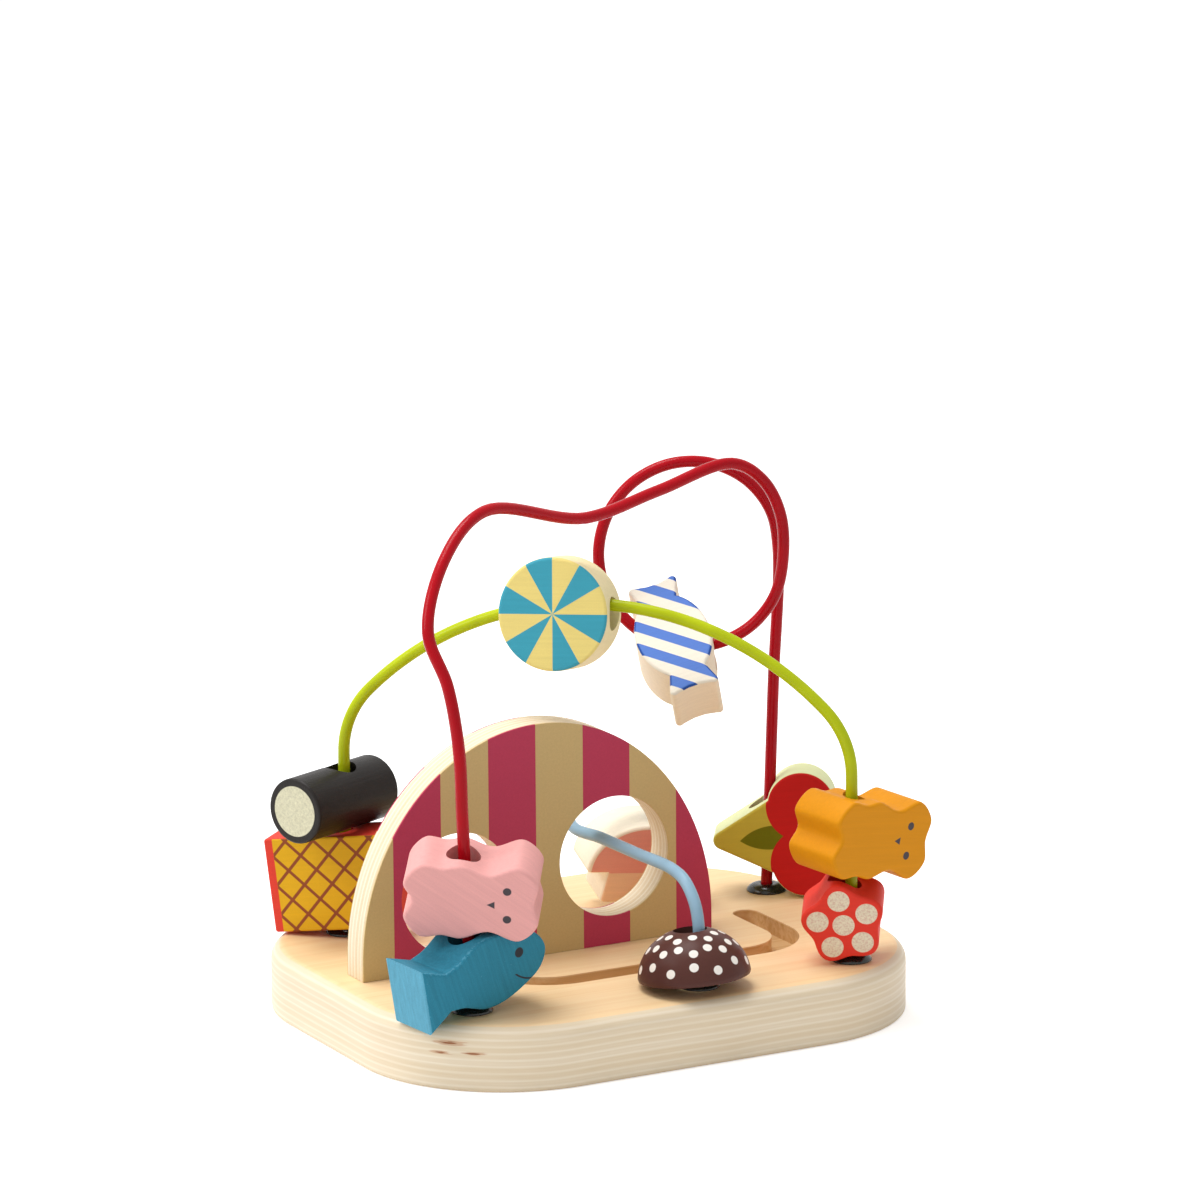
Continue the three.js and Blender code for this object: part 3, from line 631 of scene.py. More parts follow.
def cherries_paint(tree, own):
    """Two red cherries and a dark leaf on a yellow-green stalk; the sawn sides stay pale green."""
    _, _, below = face_axes(tree, own)
    whole_face = (below, PRINT_DEPTH["cherries"])
    colour = printed(tree, "#DADDA8", "#C0AA3C", whole_face)
    # The leaf lies between two round arcs that meet in a tip
    leaf = [(from_spots(tree, own, [centre]), radius) for centre, radius in LEAF_ARCS]
    colour = printed(tree, colour, "#6C6A05", *leaf, (below, PRINT_DEPTH["leaf"]))
    lobes = from_spots(tree, own, [(CHERRY_REACH, CHERRY_SPREAD), (CHERRY_REACH, -CHERRY_SPREAD)])
    return printed(tree, colour, "#C21C1A", (lobes, CHERRY_RADIUS + CHERRY_PRINT_MARGIN), whole_face)


def candy_paint(tree, own):
    """Cream with slanting blue stripes on both faces; in front they run on over the rim, darker."""
    across, up, below = face_axes(tree, own)
    turn = math.radians(CANDY_SLANT)
    level = maths(tree, "MULTIPLY", up, math.sin(turn))
    slant = maths(tree, "MULTIPLY_ADD", across, math.cos(turn), level)
    stripe = repeat_of(tree, slant, CANDY_REPEAT, CANDY_STRIPE_SHIFT)
    band = (maths(tree, "MULTIPLY", off(tree, stripe, 0.5), CANDY_REPEAT), CANDY_BAND)
    cream = printed(tree, "#F0E0C6", "#EFE6D6", (below, PRINT_DEPTH["candy"]))
    blue = printed(tree, "#27509F", "#587DCB", (below, PRINT_DEPTH["candy light blue"]))
    behind = maths(tree, "MULTIPLY", across.node.outputs["Z"], -1)
    colour = printed(tree, cream, blue, band, (below, PRINT_DEPTH["candy stripe"]))
    over_rim = ((below, PRINT_DEPTH["candy front stripe"]), (behind, 0))
    return printed(tree, colour, blue, band, *over_rim)


def disc_paint(tree, own):
    """Twelve wedges, teal and straw yellow by turns, printed on both faces; the rim is bare and cream."""
    across, up, below = face_axes(tree, own, DISC_THICK)
    pair = math.radians(60)
    wedge = repeat_of(tree, maths(tree, "ARCTAN2", up, across), pair)
    out = from_spots(tree, own, [(0, 0)])
    # A teal wedge is the second half of its pair, so it reaches a quarter to each side of three quarters
    past = maths(tree, "SUBTRACT", off(tree, wedge, 0.75), 0.25)
    edge = maths(tree, "MULTIPLY", past, maths(tree, "MULTIPLY", out, pair))
    whole_face = (below, PRINT_DEPTH["disc"])
    yellow = printed(tree, "#EFE0B0", "#E6D27E", whole_face)
    return printed(tree, yellow, "#3F9DB2", (edge, 0), whole_face)


def liquorice_paint(tree, own):
    """Black all round, with a cream disc printed on each end."""
    along = add(tree, "ShaderNodeSeparateXYZ", {0: own})
    short = maths(tree, "SUBTRACT", ROLL_LENGTH / 2, off(tree, along, ROLL_SHIFT))
    out = vector_maths(tree, "LENGTH", vector_maths(tree, "MULTIPLY", own, (0, 1, 1)))
    on_end = ((out, ROLL_END_PRINT), (short, PRINT_DEPTH["roll end"]))
    return printed(tree, "#1B1613", "#CFCBAE", *on_end)


def waffle_paint(tree, own):
    """Red block with a yellow panel on each face and a brown lattice over it."""
    across, up, below = face_axes(tree, own)
    left = maths(tree, "MULTIPLY", across, -1)
    panel = ((below, PRINT_DEPTH["waffle"]), (left, WAFFLE[0] / 2 - WAFFLE_MARGIN))
    colour = printed(tree, "#DA4132", "#DCA91E", *panel)
    for way in (1, -1):
        slant = maths(tree, "MULTIPLY_ADD", up, way, across)
        step = repeat_of(tree, slant, LATTICE * math.sqrt(2), 0.5)
        line = maths(tree, "MULTIPLY", off(tree, step, 0.5), LATTICE)
        colour = printed(tree, colour, "#8F4A2A", (line, LATTICE_LINE), *panel)
    return colour


def mushroom_paint(tree, own):
    """Cream, with a salmon cap and a peach stem printed inside the outline; cap and stem carry painted
    light, written lighter than their paint to make up for the arch's shade.
    """
    _, up, below = face_axes(tree, own)
    squash = CAP_HALF_WIDTH / CAP_HEIGHT
    middle = (-MUSHROOM_SHIFT, -MUSHROOM_BRIM * squash, 0)
    cap = add(tree, "ShaderNodeMapping", {"Vector": own, "Location": middle, "Scale": (1, squash, 0)})
    out = vector_maths(tree, "LENGTH", cap)
    down = maths(tree, "MULTIPLY", up, -1)
    panel = (below, PRINT_DEPTH["mushroom"])
    over_brim = ((out, CAP_HALF_WIDTH - CAP_MARGIN), (down, -MUSHROOM_BRIM))
    # Cap and stem colours are painted light: lighter than the real paint, to brighten the mushroom in the
    # shade behind the arch
    colour = printed(tree, "#F8EFD9", "#F2AA9A", *over_brim, panel)
    return printed(tree, colour, "#F8D6B4", (up, MUSHROOM_BRIM), panel)


def dome_paint(tree, own):
    """Chocolate brown with three rings of round white sugar dots, measured along the curved skin."""
    across = add(tree, "ShaderNodeSeparateXYZ", {0: own})
    _, up, depth = across.node.outputs
    turn = maths(tree, "ARCTAN2", depth, across)
    radius = vector_maths(tree, "LENGTH", vector_maths(tree, "MULTIPLY", own, (1, 0, 1)))
    tilt = maths(tree, "ARCTAN2", radius, maths(tree, "ADD", up, DOME_HEIGHT / 2))
    colour = "#55332D"
    for ring, (lean, dots) in enumerate(DOME_RINGS):
        spacing = 2 * math.pi / dots
        number = maths(tree, "MULTIPLY_ADD", turn, 1 / spacing, DOME_RING_SHIFT * ring)
        off_dot = maths(tree, "SUBTRACT", maths(tree, "FRACT", number), 0.5)
        around = maths(tree, "MULTIPLY", maths(tree, "MULTIPLY", off_dot, radius), spacing)
        # Every other dot stands a little higher, as if strewn
        odd = repeat_of(tree, maths(tree, "FLOOR", number), 2)
        swayed = maths(tree, "MULTIPLY_ADD", odd, 4 * DOME_SWAY, -math.radians(lean) - DOME_SWAY)
        over = maths(tree, "MULTIPLY", maths(tree, "ADD", tilt, swayed), DOME_RADIUS)
        spot = add(tree, "ShaderNodeCombineXYZ", {0: around, 1: over})
        colour = printed(tree, colour, "#EFEAE2", (vector_maths(tree, "LENGTH", spot), DOME_DOT))
    return colour


def ply_edge(tree, own, depth, light, dark):
    """Layers of veneer on a sawn edge: thin pale lines between darker layers, wavy and streaked."""
    wave = noise(tree, own, PLY_WAVE, detail=1)
    wavy = maths(tree, "MULTIPLY_ADD", wave, PLY_SWAY, depth)
    layer = maths(tree, "MULTIPLY", wavy, 1 / PLY)
    swing = maths(tree, "PINGPONG", layer, 0.5)
    body = ranged(tree, swing, (0.02, 0.3), (0, 0.5), interpolation_type="SMOOTHSTEP")
    number = maths(tree, "FLOOR", layer)
    chance = add(tree, "ShaderNodeTexWhiteNoise", {"W": number}, noise_dimensions="1D")
    streaks = noise(tree, stretched(tree, own, STREAKS), 1, detail=4, roughness=0.65)
    varied = maths(tree, "MULTIPLY_ADD", chance, 0.3, body)
    streaked = maths(tree, "MULTIPLY_ADD", streaks, 0.7, varied)
    tone = add(tree, "ShaderNodeMath", {0: streaked, 1: 0.3}, operation="SUBTRACT", use_clamp=True)
    return mixed(tree, tone, light, dark), streaks


def plywood_board():
    """Birch plywood under clear lacquer: faint long grain on its faces, layered edges, a darker groove."""
    material, tree, shader, own = new_finish("birch_plywood_lacquered")
    height = add(tree, "ShaderNodeSeparateXYZ", {0: own}, out="Z")
    edge, streaks = ply_edge(tree, own, height, "#EFE2CC", "#DFCBAA")
    # Small dark knots show at one corner of the edge
    drawn_out = vector_maths(tree, "MULTIPLY", own, KNOT_STRETCH)
    for knot, size in KNOTS:
        centre = tuple(place * share for place, share in zip(knot, KNOT_STRETCH))
        gap = vector_maths(tree, "DISTANCE", drawn_out, centre)
        ragged = maths(tree, "MULTIPLY_ADD", streaks, -KNOT_RAG, gap)
        for ink, reach in KNOT_INKS:
            edge = printed(tree, edge, ink, (ragged, size * reach - KNOT_RAG / 2))
    grain = noise(tree, stretched(tree, own, FACE_GRAIN), 1, detail=4, roughness=0.6, distortion=0.4)
    figure = ranged(tree, grain, (0.36, 0.68), (0, 1))
    face = mixed(tree, figure, "#F4D6A8", "#EFCB98")
    cut = mixed(tree, figure, "#E6C492", "#D0A56E")
    # The groove lies inside the board, well away from its rounded outline
    core = (BOARD[0] / 2 - BOARD_CORNER, BOARD[1] / 2 - BOARD_CORNER, BOARD[2])
    past = vector_maths(tree, "SUBTRACT", vector_maths(tree, "ABSOLUTE", own), core)
    out = vector_maths(tree, "LENGTH", vector_maths(tree, "MAXIMUM", past, (0, 0, 0)))
    under = maths(tree, "SUBTRACT", BOARD[2], height)
    sawn = printed(tree, edge, cut, (out, BOARD_CORNER - BOARD_TOP_ROUND), (under, GROOVE_DEPTH + 1))
    topped = printed(tree, sawn, face, (under, BOARD_FACE))
    feed(tree, shader, {
        "Base Color": printed(tree, topped, face, (height, BOARD_FOOT_FACE)),
        "Roughness": 0.45,
        "Normal": bumps(tree, streaks, strength=0.12, distance=0.1),
        "Specular IOR Level": 0.25,
    })
    return material


def striped_arch():
    """Birch plywood with flat printed stripes on both faces; the rounded edges and holes stay bare."""
    material, tree, shader, own = new_finish("birch_plywood_striped_print")
    across, _, below = face_axes(tree, own, ARCH_THICK)
    edge, _ = ply_edge(tree, own, across.node.outputs["Z"], "#F4EAD6", "#DAC297")
    stripe = repeat_of(tree, across, STRIPE_REPEAT, STRIPE_SHIFT)
    band = maths(tree, "MULTIPLY", off(tree, stripe, 0.75), STRIPE_REPEAT)
    weave = noise(tree, own, PRINT_WEAVE, detail=3, roughness=0.7)
    beige = printed(tree, edge, "#CDB37C", (below, PRINT_DEPTH["arch"]))
    on_stripe = ((band, STRIPE_REPEAT / 4), (below, PRINT_DEPTH["arch stripe"]))
    colour = printed(tree, beige, "#BC405C", *on_stripe)
    feed(tree, shader, {
        "Base Color": shaded(tree, colour, ranged(tree, weave, NOISE_RANGE, (0.95, 1.05))),
        "Roughness": 0.6,
        "Normal": bumps(tree, weave, strength=0.2, distance=0.1),
        "Specular IOR Level": 0.15,
    })
    return material


def coated_wire(name, hex_colour):
    """Steel wire dipped in coloured plastic: smooth, glossy and a little uneven along its length."""
    material, tree, shader, own = new_finish(name)
    swell = noise(tree, own, COAT_SWELL, detail=1)
    tint = ranged(tree, swell, NOISE_RANGE, (0.93, 1.05))
    feed(tree, shader, {
        "Base Color": shaded(tree, linear(hex_colour)[:3], tint),
        "Roughness": ranged(tree, swell, NOISE_RANGE, (0.16, 0.26)),
        "Normal": bumps(tree, swell, strength=0.1, distance=0.1),
        "Specular IOR Level": 0.12,
    })
    return material


def moulded_black():
    """Moulded black plastic of the ferrules: glossy, with fine marks."""
    material, tree, shader, own = new_finish("moulded_black_plastic")
    marks = noise(tree, own, MOULD_MARK, detail=3)
    feed(tree, shader, {
        "Base Color": mixed(tree, marks, "#12120E", "#1E1E19"),
        "Roughness": ranged(tree, marks, NOISE_RANGE, (0.16, 0.3)),
    })
    return material


def plated_steel():
    """Zinc-plated steel of the screws and retainers: bright and slightly cloudy."""
    material, tree, shader, own = new_finish("zinc_plated_steel")
    cloud = noise(tree, own, ZINC_CLOUD, detail=3)
    feed(tree, shader, {
        "Base Color": mixed(tree, cloud, "#C4C6C8", "#A8ABB0"),
        "Roughness": ranged(tree, cloud, NOISE_RANGE, (0.28, 0.42)),
        "Metallic": 1,
    })
    return material


def rounded_oblong(width, depth, round_off, steps):
    """Outline of an oblong with round corners."""
    x, y = width / 2 - round_off, depth / 2 - round_off
    outline = []
    for cx, cy, start in ((x, -y, -90), (x, y, 0), (-x, y, 90), (-x, -y, 180)):
        outline += arc(cx, cy, round_off, round_off, start, start + 90, steps)
    return outline


def groove_outline():
    """Outline of the finger groove, a wide U with round ends."""
    half = GROOVE_WIDTH / 2
    (left, left_end), (right, right_end) = GROOVE_LEFT, GROOVE_RIGHT
    middle = GROOVE_FRONT + GROOVE_TURN
    outer, inner = GROOVE_TURN + half, GROOVE_TURN - half
    return [
        *arc(left + GROOVE_TURN, middle, outer, outer, 180, 270, 16),
        *arc(right - GROOVE_TURN, middle, outer, outer, 270, 360, 16),
        *arc(right, right_end, half, half, 0, 180, 16),
        *arc(right - GROOVE_TURN, middle, inner, inner, 360, 270, 16),
        *arc(left + GROOVE_TURN, middle, inner, inner, 270, 180, 16),
        *arc(left, left_end, half, half, 0, 180, 16),
    ]


def screw_places():
    return [ARCH_X + side * SCREW_SPACING for side in (-1, 0, 1)]


def make_board(finish):
    top, touch, overlap = BOARD[2], 0.01, 2
    bm = plate(rounded_oblong(BOARD[0], BOARD[1], BOARD_CORNER, 24), top)
    bmesh.ops.translate(bm, verts=bm.verts, vec=(0, 0, top / 2))
    ease(bm, corner_edges(bm, lambda co: co.z > top - touch), BOARD_TOP_ROUND, 8)
    ease(bm, corner_edges(bm, lambda co: co.z < touch), BOARD_FOOT_ROUND, 3)
    groove = plate(groove_outline(), 2 * GROOVE_DEPTH)
    bmesh.ops.translate(groove, verts=groove.verts, vec=(0, 0, top))
    holes = []
    for x, y in FEET.values():
        low = RETAINER_SINK_DEPTH - overlap
        holes.append(rod(WIRE + 2 * FIT, (x, y, low), (x, y, top + OVERCUT), 24))
        holes.append(rod(RETAINER_SINK, (x, y, -OVERCUT), (x, y, RETAINER_SINK_DEPTH), 32))
    for x in screw_places():
        holes.append(rod(SCREW_SINK, (x, ARCH_Y, -OVERCUT), (x, ARCH_Y, SCREW_SINK_DEPTH), 32))
    bm = carve(bm, groove, *holes)
    ease(bm, corner_edges(bm, lambda co: co.z > top - touch), RIM_EASE, 2)
    piece("plywood_board", bm, finish, "frame", ["base_board"])


def make_arch(finish):
    # The foot is sawn off level after the edges are rounded, so it starts too long
    outline = [Vector((-ARCH_HALF_WIDTH, -OVERCUT)), Vector((ARCH_HALF_WIDTH, -OVERCUT))]
    outline += arc(0, ARCH_STILT, ARCH_HALF_WIDTH, ARCH_RISE, 0, 180, 96)
    bm = plate(outline, ARCH_THICK)
    holes = [
        rod(2 * HOLE_RADIUS, (x, y, -ARCH_THICK), (x, y, ARCH_THICK), 96) for x, y in ARCH_HOLES
    ]
    bm = carve(bm, *holes)
    ease(bm, corner_edges(bm, lambda co: True), ARCH_ROUND, 5)
    cut = bmesh.ops.bisect_plane(
        bm, geom=bm.verts[:] + bm.edges[:] + bm.faces[:], plane_co=(0, SEAT, 0), plane_no=(0, 1, 0),
        clear_inner=True,
    )
    sawn = [part for part in cut["geom_cut"] if isinstance(part, bmesh.types.BMEdge)]
    bmesh.ops.edgeloop_fill(bm, edges=sawn)
    bmesh.ops.recalc_face_normals(bm, faces=bm.faces)
    place = Matrix.Translation((ARCH_X, ARCH_Y, BOARD[2])) @ Matrix.Rotation(math.pi / 2, 4, "X")
    piece("striped_arch", bm, finish, "frame", ["arch_panel"], place)


def make_fastenings(plastic, steel):
    bore = WIRE / 2 + WIRE_GRIP
    lip = 0.4
    shoulder = bow(
        (FERRULE_RADIUS, lip), (FERRULE_RADIUS - 3 * lip, FERRULE_HEIGHT),
        (FERRULE_NECK, FERRULE_HEIGHT), 10,
    )
    ferrule = [
        (bore, 0), (FERRULE_RADIUS - lip / 2, 0), (FERRULE_RADIUS, lip / 2), *shoulder,
        (bore + lip, FERRULE_HEIGHT), (bore, FERRULE_HEIGHT - 0.3), (bore, 0),
    ]
    low = RETAINER_SINK_DEPTH - SEAT - RETAINER_THICK - RETAINER_DISH
    retainer = [
        (bore, low), (RETAINER_RADIUS, low + RETAINER_DISH),
        (RETAINER_RADIUS, low + RETAINER_DISH + RETAINER_THICK), (bore, low + RETAINER_THICK),
        (bore, low),
    ]
    for foot, (x, y) in FEET.items():
        up = Matrix.Translation((x, y, BOARD[2] + SEAT))
        piece(f"{foot}_cap", turned(ferrule), plastic, "frame", [f"{foot}_ferrule"], up)
        flat = Matrix.Translation((x, y, 0))
        washer = turned(retainer, 32)
        piece(f"{foot}_spring_washer", washer, steel, "frame", [f"{foot}_retainer"], flat)
    sunk, socket, socket_depth, bevelled = 1, 1.3, 0.6, 0.3
    screw = [
        (0, sunk + socket_depth), (socket, sunk + socket_depth), (socket, sunk),
        (SCREW_HEAD - bevelled, sunk), (SCREW_HEAD, sunk + bevelled), (SCREW_SHANK, 2 * SCREW_SHANK),
        (SCREW_SHANK, SCREW_END - 2 * SCREW_SHANK), (0, SCREW_END),
    ]
    for side, x in zip(("left", "middle", "right"), screw_places()):
        place = Matrix.Translation((x, ARCH_Y, 0))
        node = f"arch_screw_{side}"
        piece(f"{side}_wood_screw", turned(screw, 32), steel, "frame", [node], place)


def above(place, height):
    """A point at a height over the board's top."""
    return Vector((place[0], place[1], BOARD[2] + height))


def rooted(place):
    """A wire's end in its hole, and where it leaves the board."""
    return [above(place, WIRE_END - BOARD[2]), above(place, 0)]


def loop_point(degrees):
    """A point of the red wire's loop: 0 is its right side, -360 is over the back post."""
    facing, turn = math.radians(LOOP_FACING), math.radians(degrees)
    out = LOOP_SHIFT + LOOP_RADIUS * (math.cos(turn) - 1)
    forward = LOOP_PITCH * (degrees + 360) / 360
    x, y = FEET["red_back"]
    aside = out * math.cos(facing) + forward * math.sin(facing)
    behind = out * math.sin(facing) - forward * math.cos(facing)
    return above((x + aside, y + behind), LOOP_HEIGHT + LOOP_RADIUS * math.sin(turn))


def red_route():
    x, y = FEET["red_front"]
    aside, behind = RED_POST_LEAN
    post = [above((x + aside * s, y + behind * s), RED_POST * s) for s in (0.25, 0.5, 0.75, 1)]
    shoulders = ((-5, 5.1, 109.1), (-8, 12.9, 125.9), (4, 23.8, 147.1), (24, 34, 159))
    shoulder = [above((x + aside, y + back), height) for aside, back, height in shoulders]
    dips = ((-81, -7.9, 25.1), (-49.9, -1.9, 30), (-20.1, 0, 36), (-8, 0, 29), (-0.9, 0, 16))
    dip = [loop_point(0) + Vector(shift) for shift in dips]
    loop = [loop_point(-360 * step / LOOP_STEPS) for step in range(LOOP_STEPS)]
    end, foot = loop_point(-360), above(FEET["red_back"], 0)
    fall = [end.lerp(foot, share) for share in (0, 0.4, 0.8)]
    back = rooted(FEET["red_back"])
    return [*rooted(FEET["red_front"]), *post, *shoulder, *dip, *loop, *fall, *reversed(back)]


def lime_route():
    back, front = Vector(FEET["lime_back"]), Vector(FEET["lime_front"])
    run = (front - back).length
    way = (front - back) / run
    inset = run / 2 - LIME_BEND
    crown = (inset ** 2 + LIME_CROWN ** 2 - LIME_BEND ** 2) / (2 * (LIME_CROWN - LIME_BEND))
    drop = crown - LIME_CROWN
    meet = math.degrees(math.atan2(drop, inset))
    flat = [
        Vector((0, WIRE_END - BOARD[2])), Vector((0, 0)), Vector((0, LIME_POST / 2)),
        *arc(LIME_BEND, LIME_POST, LIME_BEND, LIME_BEND, 180, 180 - meet, 10),
        *arc(run / 2, LIME_POST - drop, crown, crown, 180 - meet, meet, 24)[1:],
        *arc(run - LIME_BEND, LIME_POST, LIME_BEND, LIME_BEND, meet, 0, 10)[1:],
        Vector((run, LIME_POST / 2)), Vector((run, 0)), Vector((run, WIRE_END - BOARD[2])),
    ]
    return [above(back + way * p.x, p.y) for p in flat]


def grey_route():
    (x, y), back = FEET["grey_front"], FEET["grey_back"]
    run_x = x - GREY_DRIFT
    radius = GREY_TURN_SHARE * (back[0] - run_x)
    rise = GREY_LEVEL - GREY_FRONT_BEND
    high = GREY_LEVEL + GREY_HUMP - radius
    climb = [above((x, y), height) for height in (WIRE_END - BOARD[2], 0, rise / 2, rise)]
    front_arc = arc(y + GREY_FRONT_BEND, rise, -GREY_FRONT_BEND, GREY_FRONT_BEND, 30, 90, 2)
    bend = [above((x, p.x), p.y) for p in front_arc]
    run_end = above((run_x, back[1] - radius), GREY_LEVEL)
    run = [bend[-1].lerp(run_end, share) for share in (0.35, 0.7, 1)]
    turn_arc = arc(run_x + radius, back[1] - radius, -radius, radius, 45, 90, 1)
    turn = [above(p, GREY_LEVEL + GREY_HUMP * share) for p, share in zip(turn_arc, (0.5, 1))]
    drop_arc = arc(back[0] - radius, high, radius, radius, 90, 30, 2)
    drop = [above((p.x, back[1]), p.y) for p in drop_arc]
    fall = [above(back, height) for height in (high, high / 2, 0, WIRE_END - BOARD[2])]
    return [*climb, *bend, *run, *turn, *drop, *fall]


def make_wire(name, route, finish, node):
    """A round wire swept along its route."""
    curve = bpy.data.curves.new(name, "CURVE")
    curve.dimensions = "3D"
    curve.bevel_depth = WIRE / 2
    curve.bevel_resolution = 6
    curve.use_fill_caps = True
    points = smooth_through(route, steps=12)
    spline = curve.splines.new("POLY")
    spline.points.add(len(points) - 1)
    for spot, point in zip(spline.points, points):
        spot.co = (*point, 1)
    bent = bpy.data.objects.new(name + "_route", curve)
    bpy.context.scene.collection.objects.link(bent)
    mesh = bpy.data.meshes.new_from_object(bent.evaluated_get(bpy.context.evaluated_depsgraph_get()))
    bpy.data.objects.remove(bent)
    bpy.data.curves.remove(curve)
    mesh.materials.clear()
    finish_piece(name, mesh, finish, "frame", [node])


def drilled(bm, direction=(0, 1, 0)):
    """Drills the wide bore that lets a bead run round the bends."""
    past_all_beads = 40
    way = Vector(direction).normalized() * past_all_beads
    return carve(bm, rod(BORE, -way, way))


def disc_outline(radius, steps):
    return arc(0, 0, radius, radius, 0, 360, steps)[:-1]


def bear():
    shares = (
        (-0.394, 0), (-0.454, 0.468), (-0.33, 0.978), (-0.166, 0.928), (-0.031, 1),
        (0.175, 0.784), (0.403, 1.007), (0.546, 0.561), (0.52, 0),
    )
    half = [(along * BEAR_LENGTH + BEAR_SHIFT, up * BEAR_HALF_HEIGHT) for along, up in shares]
    return drilled(plate(smooth_through(mirrored(half), True), BEAR_THICK, BEAD_EDGE))


def fish():
    back = [Vector(p) for p in ((-16.5, 6.8), (-11, 8), (-3, 11.7), (4, 12.3), (13, 10.3), (21.6, 6.15))]
    belly = [Vector((p.x, -p.y)) for p in back]
    body = smooth_through([*belly, Vector((24.7, 0)), *reversed(back)])
    end, half = FISH_TAIL
    return drilled(plate([Vector((end, -half)), *body, Vector((end, half))], BEAD_THICK, BEAD_EDGE))


def waffle():
    outline = rounded_oblong(WAFFLE[0], WAFFLE[1], WAFFLE_CORNER, 4)
    return drilled(plate(outline, BEAD_THICK, WAFFLE_EDGE, 3))


def raspberry():
    outline, steps = [], 150
    for step in range(steps):
        angle = 2 * math.pi * step / steps
        lobe = math.cos(5 * (angle - math.radians(RASPBERRY_TURN)))
        radius = RASPBERRY_RADIUS + RASPBERRY_LOBE * lobe
        outline.append(Vector((radius * math.cos(angle), radius * math.sin(angle))))
    return drilled(plate(outline, BEAD_THICK, BEAD_EDGE))


def cherries():
    valley = math.degrees(math.asin(CHERRY_SPREAD / CHERRY_RADIUS))
    outline = [
        *arc(STALK_END, 0, STALK_ROUND, STALK_ROUND, 180 - STALK_TURN, 180 + STALK_TURN, 14),
        *arc(CHERRY_REACH, -CHERRY_SPREAD, CHERRY_RADIUS, CHERRY_RADIUS, -CHERRY_TURN, valley, 44),
        *arc(CHERRY_REACH, CHERRY_SPREAD, CHERRY_RADIUS, CHERRY_RADIUS, -valley, CHERRY_TURN, 44)[1:],
    ]
    return drilled(plate(outline, BEAD_THICK, BEAD_EDGE))


def candy(direction):
    neck = math.degrees(math.acos(CANDY_NECK / CANDY_HALF_WIDTH))
    half, end = CANDY_END
    notch = bow((half, end), (0, CANDY_NOTCH), (-half, end), 5)
    outline = [
        *arc(0, 0, CANDY_HALF_WIDTH, CANDY_HALF_LENGTH, -neck, neck, 32),
        *notch,
        *arc(0, 0, CANDY_HALF_WIDTH, CANDY_HALF_LENGTH, 180 - neck, 180 + neck, 32),
        *(-p for p in notch),
    ]
    placed = [p + Vector((0, CANDY_SHIFT)) for p in blunted(outline, TIP_ROUND)]
    return drilled(plate(placed, BEAD_THICK, BEAD_EDGE), direction)


def mushroom():
    foot = MUSHROOM_BRIM - STEM_HEIGHT
    outline = [
        Vector((-STEM_FOOT, foot)), Vector((STEM_FOOT, foot)), Vector((STEM_TOP, MUSHROOM_BRIM)),
        *arc(0, MUSHROOM_BRIM, CAP_HALF_WIDTH, CAP_HEIGHT, 0, 180, 24),
        Vector((-STEM_TOP, MUSHROOM_BRIM)),
    ]
    placed = [p + Vector((MUSHROOM_SHIFT, 0)) for p in blunted(outline, TIP_ROUND)]
    return drilled(plate(placed, BEAD_THICK, BEAD_EDGE))


def disc():
    return drilled(plate(disc_outline(DISC_RADIUS, 128), DISC_THICK, BEAD_EDGE), (1, 0, 0))


def liquorice():
    bm = plate(disc_outline(ROLL_RADIUS, 96), ROLL_LENGTH, ROLL_EDGE)
    bmesh.ops.rotate(bm, verts=bm.verts, matrix=Matrix.Rotation(math.pi / 2, 3, "Y"))
    bmesh.ops.translate(bm, verts=bm.verts, vec=(ROLL_SHIFT, 0, 0))
    return drilled(bm)


def dome():
    crown = [(p.x, p.y - DOME_HEIGHT / 2) for p in arc(0, 0, DOME_RADIUS, DOME_HEIGHT, 4, 90, 40)]
    foot, rim = -DOME_HEIGHT / 2, 0.3
    profile = [(0, foot), (DOME_RADIUS - 1, foot), (DOME_RADIUS - rim, foot + rim), *crown]
    bm = turned(profile, 96)
    bmesh.ops.rotate(bm, verts=bm.verts, matrix=Matrix.Rotation(-math.pi / 2, 3, "X"))
    return drilled(bm)


def bead_finishes():
    """The paint or print of each bead."""
    ink = "#4A4448"
    pink, amber = bear_paint("#E6A6A2", ink), bear_paint("#DA8E0C", ink)
    return {
        "blue_fish": painted_wood(
            "blue_stained_wood", fish_paint, rough=0.6, streak=0.17, relief=0.5, grain_turn=80
        ),
        "pink_bear": painted_wood(
            "pink_painted_wood", pink, rough=0.6, streak=0.07, relief=0.3, grain_turn=35
        ),
        "yellow_bear": painted_wood("amber_painted_wood", amber, rough=0.5),
        "raspberry": painted_wood("raspberry_red_painted_wood", raspberry_paint),
        "waffle_block": painted_wood("waffle_printed_wood", waffle_paint),
        "liquorice_roll": painted_wood(
            "black_painted_wood", liquorice_paint, rough=0.4, streak=0.2, relief=0.9, shine=0.22
        ),
        "chocolate_dome": painted_wood(
            "chocolate_painted_wood", dome_paint, rough=0.35, streak=0.04, relief=0.1
        ),
        "twin_cherries": painted_wood("cherry_printed_wood", cherries_paint),
        "foam_mushroom": painted_wood("cream_printed_wood", mushroom_paint),
        "round_candy_disc": painted_wood("wedge_printed_wood", disc_paint),
        "striped_candy": painted_wood("stripe_printed_wood", candy_paint),
    }


